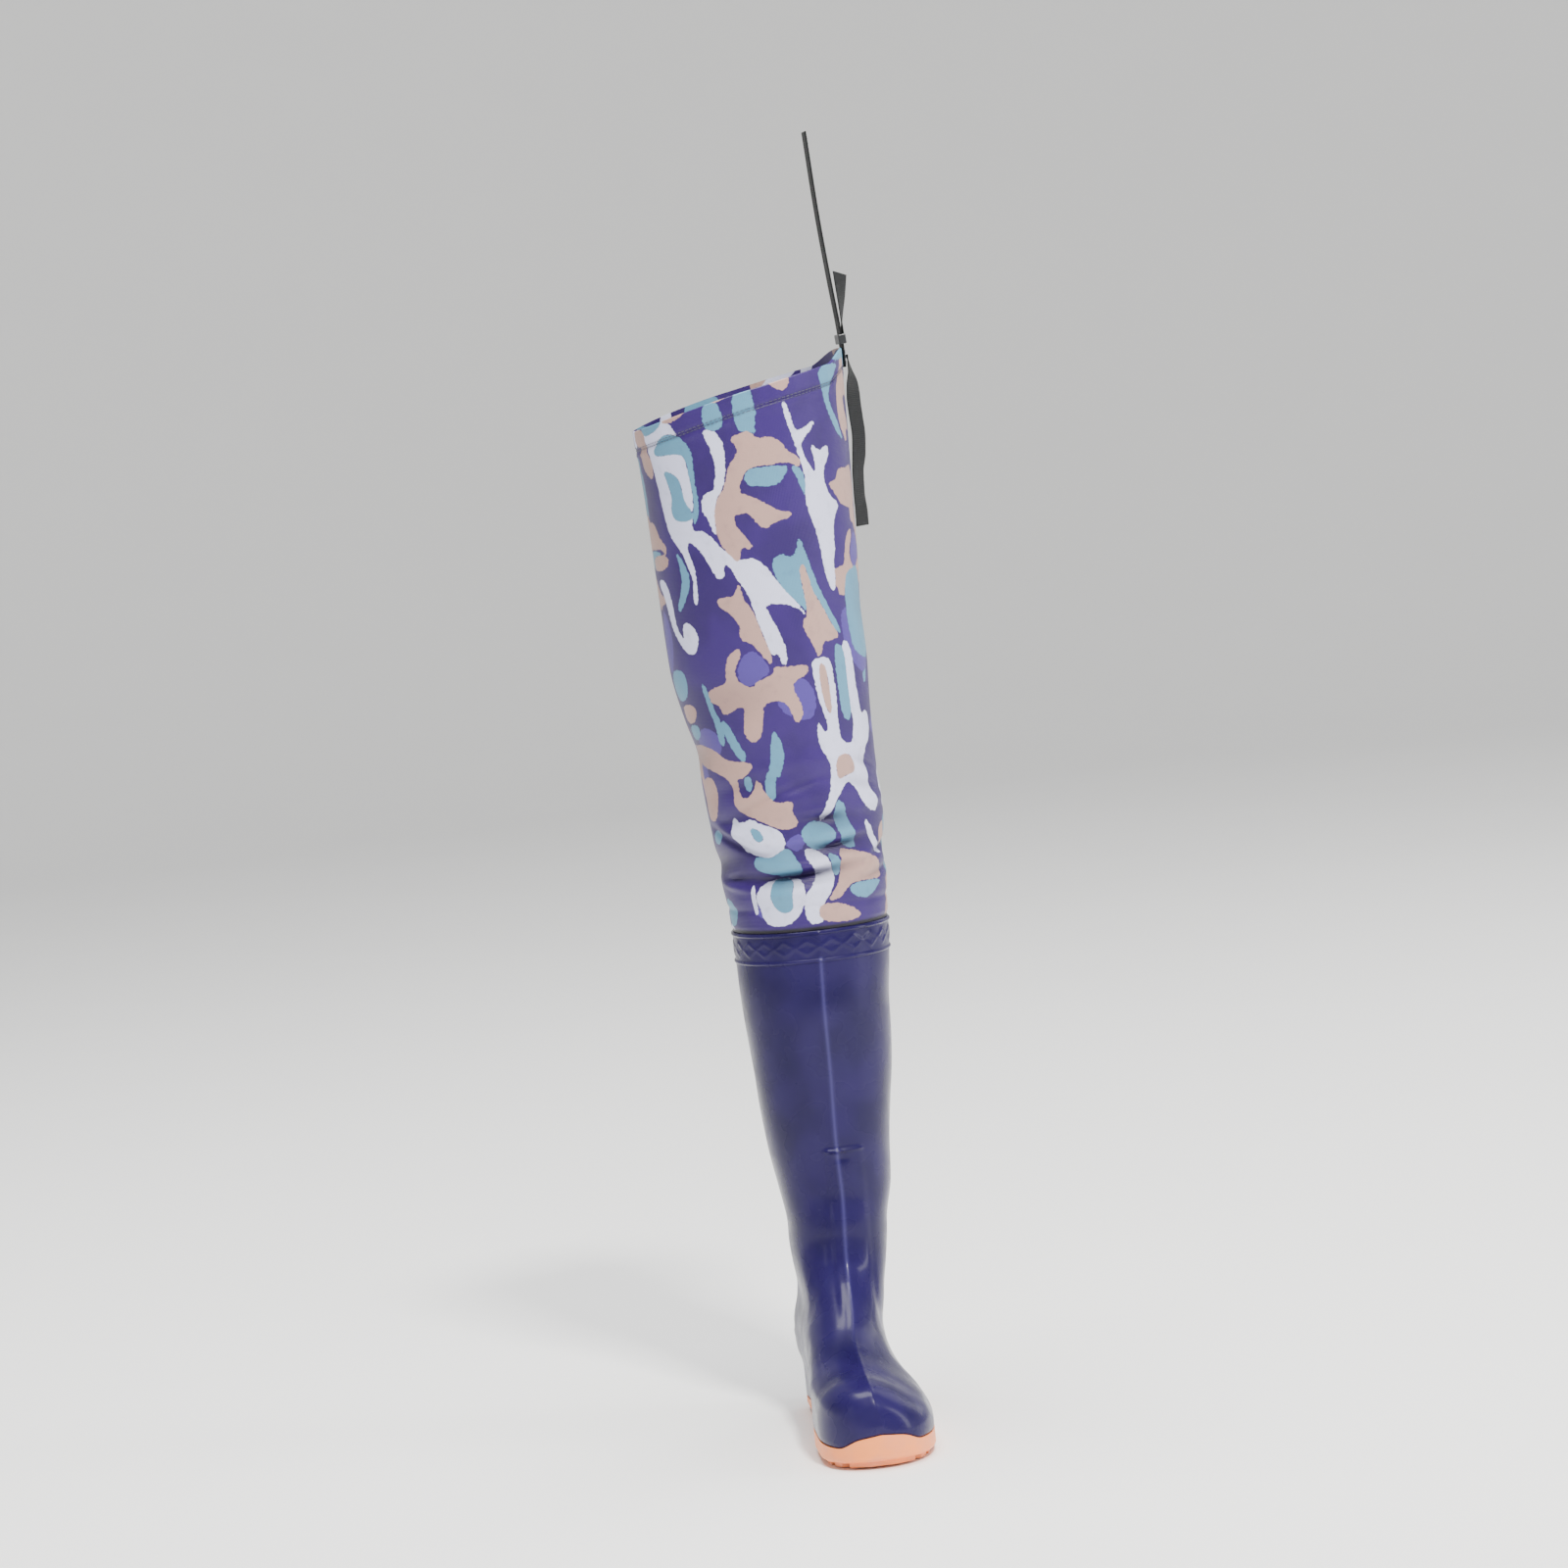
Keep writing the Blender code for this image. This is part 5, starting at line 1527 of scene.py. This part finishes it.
class WADER_OT_thigh_shaft(bpy.types.Operator):
    """Add the fabric thigh shaft, with its print, folds, back seam and stitched hem"""

    bl_idname = "wader.thigh_shaft"
    bl_label = "Thigh shaft"

    def execute(self, context):
        fabric = context.scene.hip_wader.fabric
        shares, signs = ring_places(THIGH_COLUMNS)
        angle = (signs * np.pi * shares)[None, :]
        length_up = RIM_HEIGHT - BOOT_HEIGHT
        hem = 1 - HEM_HEIGHT / length_up
        step = HEM_PROUD / length_up
        levels = (np.arange(THIGH_ROWS) / THIGH_ROWS) ** ROW_CROWDING
        levels = levels[(levels < hem - 2 * step) | (levels > hem + 3 * step)]
        around_hem = hem + step * np.arange(-1, 3)
        levels = np.sort(np.concatenate([levels, JOINT_LEVELS, around_hem, [RIM_ROW]]))
        # The inner face follows the low folds closely, so it never shows through them
        folded = levels < FOLDED_SHARE
        upper = levels[~folded & (levels < INNER_TOP)][::-INNER_EVERY]
        inner_levels = np.concatenate([upper, levels[folded][::FOLDED_EVERY][::-1]])

        proud = HEM_PROUD * smooth(hem - step / 2, hem + step, levels[:, None])
        outer = self.rings_at(levels, -proud, fabric)
        below = rim(np.sin(angle)) - outer[..., 2]
        out = self.sewing(angle, outer[..., 2], below)
        outer = outer + outward(outer) * out[..., None]
        rings = np.concatenate([outer, self.rings_at([1.0], RIM_ROUND[0], fabric),
                                self.rings_at([1.0], FABRIC_WALL - RIM_ROUND[1], fabric),
                                self.rings_at(inner_levels, FABRIC_WALL, fabric)])
        made = loft("thigh_sleeve", rings, printed_coated_polyamide(fabric), coated_back(fabric),
                    closed=True)
        self.face_sides(made, len(outer) + 1, inner_levels > hem)
        around = np.broadcast_to(angle, rings.shape[:2])
        for name, reach in painted(around, rings[..., 2]).items():
            store(made, "print_" + name, reach)
        place = (rings[..., 2] - BOOT_HEIGHT) / length_up
        # Painted shade in the troughs of the folds and along the hem's channel
        trough = -folds(SOFT_FOLDS, place, around) - CREASE_SHADE_FOLDS * folds(FOLDS, place, around)
        painted_crease_shade = np.clip(trough / CREASE_SHADE_DEPTH - CREASE_SHADE_FROM, 0, 1)
        under_rim = rim(np.sin(around)) - rings[..., 2]
        shaded_channel = bump(under_rim, HEM_HEIGHT - HEM_CHANNEL, CHANNEL_SHADE_HALF)
        store(made, "crease", painted_crease_shade + CHANNEL_SHADE_SHARE * shaded_channel)
        # The fabric's lowest few millimetres over the collar are darkened
        store(made, "darkened_edge", 1 - smooth(*DARK_EDGE_SPAN, rings[..., 2] - BOOT_HEIGHT))
        store_weave(made, around * PRINT_RADIUS, rings[..., 2])
        rows = self.hem_rows(outer, below)
        spacing = fabric.stitch * STITCH_STEP
        places = [place for row in rows for place in self.along_row(row, spacing)]
        thread = polyester_thread("bonded_polyester_thread", fabric.thread)
        sewn = stitches("hem_stitches", places, fabric.stitch, 0.00028, thread)
        ride(sewn, "coated_fabric")
        ride(made, "coated_fabric", "thigh_shaft")
        return {"FINISHED"}

    def rings_at(self, levels, inset, fabric):
        """Rings of the shaft at levels, drawn in where the fabric is welded to the boot."""
        shares, signs = ring_places(THIGH_COLUMNS)
        level = np.array(levels)[:, None]
        drawn = JOINT_DRAW * (1 - smooth(*JOINT_DRAWN, level))
        return thigh_points(shares[None, :], signs[None, :], level, inset + drawn, fabric.soften)

    def sewing(self, angle, height, below):
        """Relief of the seams: a lapped seam up the back, and the hem's sewn channel."""
        behind = turned(angle, 180) * PRINT_RADIUS
        lap = smooth(0.0, BACK_SEAM_FOOT, height - BOOT_HEIGHT - LAP_HEIGHT)
        out = BACK_SEAM_RISE * lap * (1 - smooth(*BACK_SEAM_EDGE, np.abs(behind)))
        out = out - BACK_LINES_DEPTH * lap * bump(np.abs(behind), *BACK_LINES)
        out = out - CHANNEL_DEPTH * bump(below, HEM_HEIGHT - HEM_CHANNEL, CHANNEL_HALF)
        place, half = SWELL
        out = out + SWELL_RISE * bump(below, HEM_HEIGHT + place, half)
        pucker = np.sin(angle * PUCKER_WAVES[0]) * np.sin(angle * PUCKER_WAVES[1] + 1.0)
        place, half = PUCKER
        out = out + PUCKER_DEPTH * bump(below, HEM_HEIGHT - place, half) * pucker
        # The collar's weld pulls the fabric into a crease over the top of the boot's neck
        depth, place, half = NECK_CREASE
        return out - depth * bump(height - BOOT_HEIGHT, LAP_HEIGHT + place, half)

    def face_sides(self, made, outer_rows, in_hem):
        """Give the sleeve's inner faces the coated back, but for the hem's turned-in edge."""
        sides = np.concatenate([np.zeros(outer_rows + 1), np.where(in_hem, 0, 1)])
        sides[-1] = 0
        faces = np.repeat(sides.astype(np.int32), THIGH_COLUMNS)
        made.data.polygons.foreach_set("material_index", faces)

    def hem_rows(self, outer, below):
        """Points and outward directions along the two rows of the hem's stitches."""
        directions = outward(outer)
        rows = []
        for rise in HEM_ROWS:
            depth = HEM_HEIGHT - rise
            points = []
            for column in range(outer.shape[1]):
                row = int(np.argmin(np.abs(below[:, column] - depth)))
                near = outer[row, column]
                point = Vector((near[0], near[1], near[2] + below[row, column] - depth))
                points.append((point, Vector(directions[row, column])))
            rows.append(points)
        return rows

    def along_row(self, row, spacing):
        """Stitches evenly along a closed row of points."""
        places = []
        walked = 0.0
        for (start, normal), (end, _) in zip(row, row[1:] + row[:1]):
            step = (end - start).length
            while walked < step:
                places.append((start + (end - start) * (walked / step) + normal * 0.0002,
                               end - start, normal))
                walked += spacing
            walked -= step
        return places


class WADER_OT_belt_strap(bpy.types.Operator):
    """Add the belt strap with its folded flap, hanging tail, slide and stitches"""

    bl_idname = "wader.belt_strap"
    bl_label = "Belt strap"

    def execute(self, context):
        strap = context.scene.hip_wader.strap
        web = woven_polypropylene(strap)
        rises = np.arange(-STRAP_SEWN, STRAP_RISE, WEB_STEP).tolist() + [STRAP_RISE]
        up_strap = [(strap_centre(rise), Vector((0, 1, 0)), Vector((1, 0, 0))) for rise in rises]
        belt = self.webbing("belt_webbing", up_strap, STRAP_WALL, strap.width, web)
        ride(belt, "strap_webbing", "belt_strap")
        flap = self.webbing("flap_webbing", self.flap_stations(), WEB_WALL, strap.width, web)
        ride(flap, "strap_webbing", "strap_flap")
        tail = self.webbing("tail_webbing", self.tail_stations(), WEB_WALL, strap.width, web)
        ride(tail, "strap_webbing", "strap_tail")
        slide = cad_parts["strap_slide"]
        slide.data.materials.clear()
        slide.data.materials.append(moulded_acetal(strap))
        sewn = stitches("strap_stitches", self.box_stitches(strap), strap.stitch, 0.00030,
                        polyester_thread("strap_thread", linear("#5A5E66")))
        ride(sewn, "strap_webbing")
        return {"FINISHED"}

    def webbing(self, name, stations, wall, width, web):
        """A flat strap with rounded, slightly thicker edges through its stations."""
        turns = 2 * math.pi * np.arange(WEB_SIDES) / WEB_SIDES
        wide = np.sign(np.cos(turns)) * np.abs(np.cos(turns)) ** WEB_SQUARED[0] * width / 2
        deep = np.sign(np.sin(turns)) * np.abs(np.sin(turns)) ** WEB_SQUARED[1] * wall / 2
        start, end = (share * width for share in WEB_EDGE)
        deep = deep * mix(WEB_THIN, 1.0, smooth(start, end, np.abs(wide)))
        rings = []
        lengths = []
        walked = 0.0
        last = stations[0][0]
        for centre, across, face in stations:
            walked += (centre - last).length
            last = centre
            across = across.normalized()
            face = face.normalized()
            rings.append([centre + across * float(w) + face * float(d) for w, d in zip(wide, deep)])
            lengths.append([walked] * WEB_SIDES)
        made = loft(name, rings, web, capped=True)
        store_weave(made, np.broadcast_to(wide, (len(rings), WEB_SIDES)), np.array(lengths))
        return made

    def flap_stations(self):
        """Places along the webbing's folded end over the slide."""
        start = SLIDE_RISE + SLIDE_HEIGHT / 2 + GAP
        stations = []
        for place in np.linspace(0, 1, int(FLAP_LENGTH / WEB_STEP)):
            twist = FLAP_TWIST * float(FLAP.at("twist", place))
            drop = FLAP_DROP * float(FLAP.at("drop", place))
            across = Vector((math.sin(twist) * math.cos(drop), math.cos(twist), -math.sin(drop)))
            face = Vector((math.cos(twist), -math.sin(twist), 0.0))
            stand = STRAP_WALL / 2 + GAP + WEB_WALL / 2
            stand += across.x * WEB_WIDTH / 2 + FLAP_REACH * float(FLAP.at("reach", place))
            centre = strap_centre(start + FLAP_LENGTH * place) + Vector((stand, 0.0, 0.0))
            centre.z += WEB_WIDTH / 2 * math.sin(drop) / 2
            stations.append((centre, across, face))
        return stations

    def tail_stations(self):
        """Places down the strap's hanging tail."""
        stations = []
        for place in np.linspace(0, 1, int(TAIL_LENGTH / WEB_STEP)):
            height = peak().z - TAIL_START - TAIL_LENGTH * place
            half, centre, front, back = (float(value) for value in leg(np.array(height)))
            twist = TAIL_TWIST * float(TAIL.at("twist", place))
            across = Vector((math.sin(twist), math.cos(twist), 0.0))
            face = Vector((math.cos(twist), -math.sin(twist), 0.0))
            stand = HEM_PROUD + GAP + TAIL_STAND * float(TAIL.at("stand", place))
            stand += across.x * WEB_WIDTH / 2 + face.x * WEB_WALL / 2
            y = (front + back) / 2 + TAIL_BACK * float(TAIL.at("back", place))
            stations.append((Vector((centre + half + stand, y, height)), across, face))
        return stations

    def box_stitches(self, strap):
        """Stitches of the strap: a crossed box under the rim and rows over the slide."""
        half = BOX_REACH * strap.width
        low, high = -STRAP_SEWN + BOX_MARGIN, -BOX_MARGIN
        corners = [(-half, low), (half, low), (half, high), (-half, high), (-half, low),
                   (half, high), (-half, high), (half, low)]
        runs = list(zip(corners, corners[1:]))
        top = STRAP_RISE - ROWS_DROP
        runs += [((-half, rise), (half, rise)) for rise in (top, top - ROWS_APART)]
        places = []
        normal = Vector((1.0, 0.0, 0.0))
        for (y0, z0), (y1, z1) in runs:
            count = max(int(math.hypot(y1 - y0, z1 - z0) / (strap.stitch * STITCH_STEP)), 1)
            for k in range(count):
                t = (k + 0.5) / count
                centre = strap_centre(mix(z0, z1, t))
                middle = centre + Vector((STRAP_WALL / 2 + 0.00010, mix(y0, y1, t), 0.0))
                places.append((middle, Vector((0.0, y1 - y0, z1 - z0)), normal))
        return places


class WADER_OT_stage(bpy.types.Operator):
    """Add the pale floor, the soft lights and the camera"""

    bl_idname = "wader.stage"
    bl_label = "Stage"

    def execute(self, context):
        stage = context.scene.hip_wader.stage
        self.add_floor(stage)
        self.add_camera(stage)
        self.add_world()
        for name, place, size, power, tint in LIGHTS:
            self.add_light(name, place, size, power, tint)
        return {"FINISHED"}

    def add_floor(self, stage):
        """A round floor that curves up into a wall far behind the camera."""
        profile = [(0.02, 0.0), (1.0, 0.0), (3.0, 0.0), (FLOOR_FLAT, 0.0)]
        for turn in np.linspace(0, math.pi / 2, 13)[1:]:
            profile.append((FLOOR_FLAT + FLOOR_BEND * math.sin(turn),
                            FLOOR_BEND * (1 - math.cos(turn))))
        profile.append((FLOOR_FLAT + FLOOR_BEND, WALL_HEIGHT))
        turns = 2 * math.pi * np.arange(FLOOR_SIDES) / FLOOR_SIDES
        rings = [[(r * math.sin(t), -r * math.cos(t), z) for t in turns] for r, z in profile]
        made = loft("floor", rings, matt_plaster(stage))
        working = bmesh.new()
        working.from_mesh(made.data)
        working.verts.ensure_lookup_table()
        working.faces.new(working.verts[:FLOOR_SIDES])
        bmesh.ops.recalc_face_normals(working, faces=working.faces)
        bmesh.ops.reverse_faces(working, faces=[f for f in working.faces if f.normal.z < 0])
        working.to_mesh(made.data)
        working.free()

    def add_camera(self, stage):
        """The camera, turned a little to the inner side and rolled."""
        lens = bpy.data.cameras.new("camera")
        lens.lens = stage.lens
        lens.sensor_width = 36
        lens.clip_end = 60
        made = bpy.data.objects.new("camera", lens)
        place = Vector((stage.distance * math.sin(stage.turn),
                        -stage.distance * math.cos(stage.turn), stage.height))
        made.matrix_world = self.aimed(place, stage.aim) @ Matrix.Rotation(stage.roll, 4, "Z")
        bpy.context.scene.collection.objects.link(made)
        bpy.context.scene.camera = made

    def add_world(self):
        """Even light from all round."""
        world = bpy.data.worlds.new("studio")
        world.use_nodes = True
        sky = world.node_tree.nodes["Background"]
        sky.inputs["Color"].default_value = (*linear(SKY_TINT), 1.0)
        sky.inputs["Strength"].default_value = SKY_STRENGTH
        bpy.context.scene.world = world

    def add_light(self, name, place, size, power, tint):
        """A soft rectangular light aimed at the middle of the wader."""
        lamp = bpy.data.lights.new(name, "AREA")
        lamp.shape = "RECTANGLE"
        lamp.size, lamp.size_y = size
        lamp.energy = power
        lamp.color = linear(tint)
        made = bpy.data.objects.new(name, lamp)
        made.matrix_world = self.aimed(Vector(place), LIGHTS_AIM)
        bpy.context.scene.collection.objects.link(made)

    def aimed(self, place, height):
        """The matrix of what stands at a place and looks at the wader's axis at a height."""
        turn = (Vector((0.0, 0.0, height)) - place).to_track_quat("-Z", "Y")
        return Matrix.Translation(place) @ turn.to_matrix().to_4x4()


class WADER_PT_panel(bpy.types.Panel):
    """Lists the settings and the pieces of the wader"""

    bl_idname = "WADER_PT_panel"
    bl_label = "Hip wader"
    bl_space_type = "VIEW_3D"
    bl_region_type = "UI"
    bl_category = "Hip wader"

    def draw(self, context):
        for title in ("boot", "fabric", "strap", "stage"):
            settings = getattr(context.scene.hip_wader, title)
            box = self.layout.box()
            box.label(text=title.capitalize())
            for name in settings.__annotations__:
                box.prop(settings, name)
        for operator in OPERATORS:
            self.layout.operator(operator.bl_idname)


SETTINGS = (BootSettings, FabricSettings, StrapSettings, StageSettings, WaderSettings)
OPERATORS = (WADER_OT_boot, WADER_OT_sole, WADER_OT_insole, WADER_OT_thigh_shaft,
             WADER_OT_belt_strap, WADER_OT_stage)


def register():
    """Register the settings, the operators and the panel."""
    for each in (*SETTINGS, *OPERATORS, WADER_PT_panel):
        bpy.utils.register_class(each)
    bpy.types.Scene.hip_wader = PointerProperty(type=WaderSettings, name="Hip wader",
                                                description="Settings of the hip wader")


def unregister():
    """Take the panel, the operators and the settings away again."""
    del bpy.types.Scene.hip_wader
    for each in reversed((*SETTINGS, *OPERATORS, WADER_PT_panel)):
        bpy.utils.unregister_class(each)


def main():
    """Build the wader and its stage."""
    register()
    bpy.ops.wader.boot()
    bpy.ops.wader.sole()
    bpy.ops.wader.insole()
    bpy.ops.wader.thigh_shaft()
    bpy.ops.wader.belt_strap()
    bpy.ops.wader.stage()


if __name__ == "__main__":
    main()
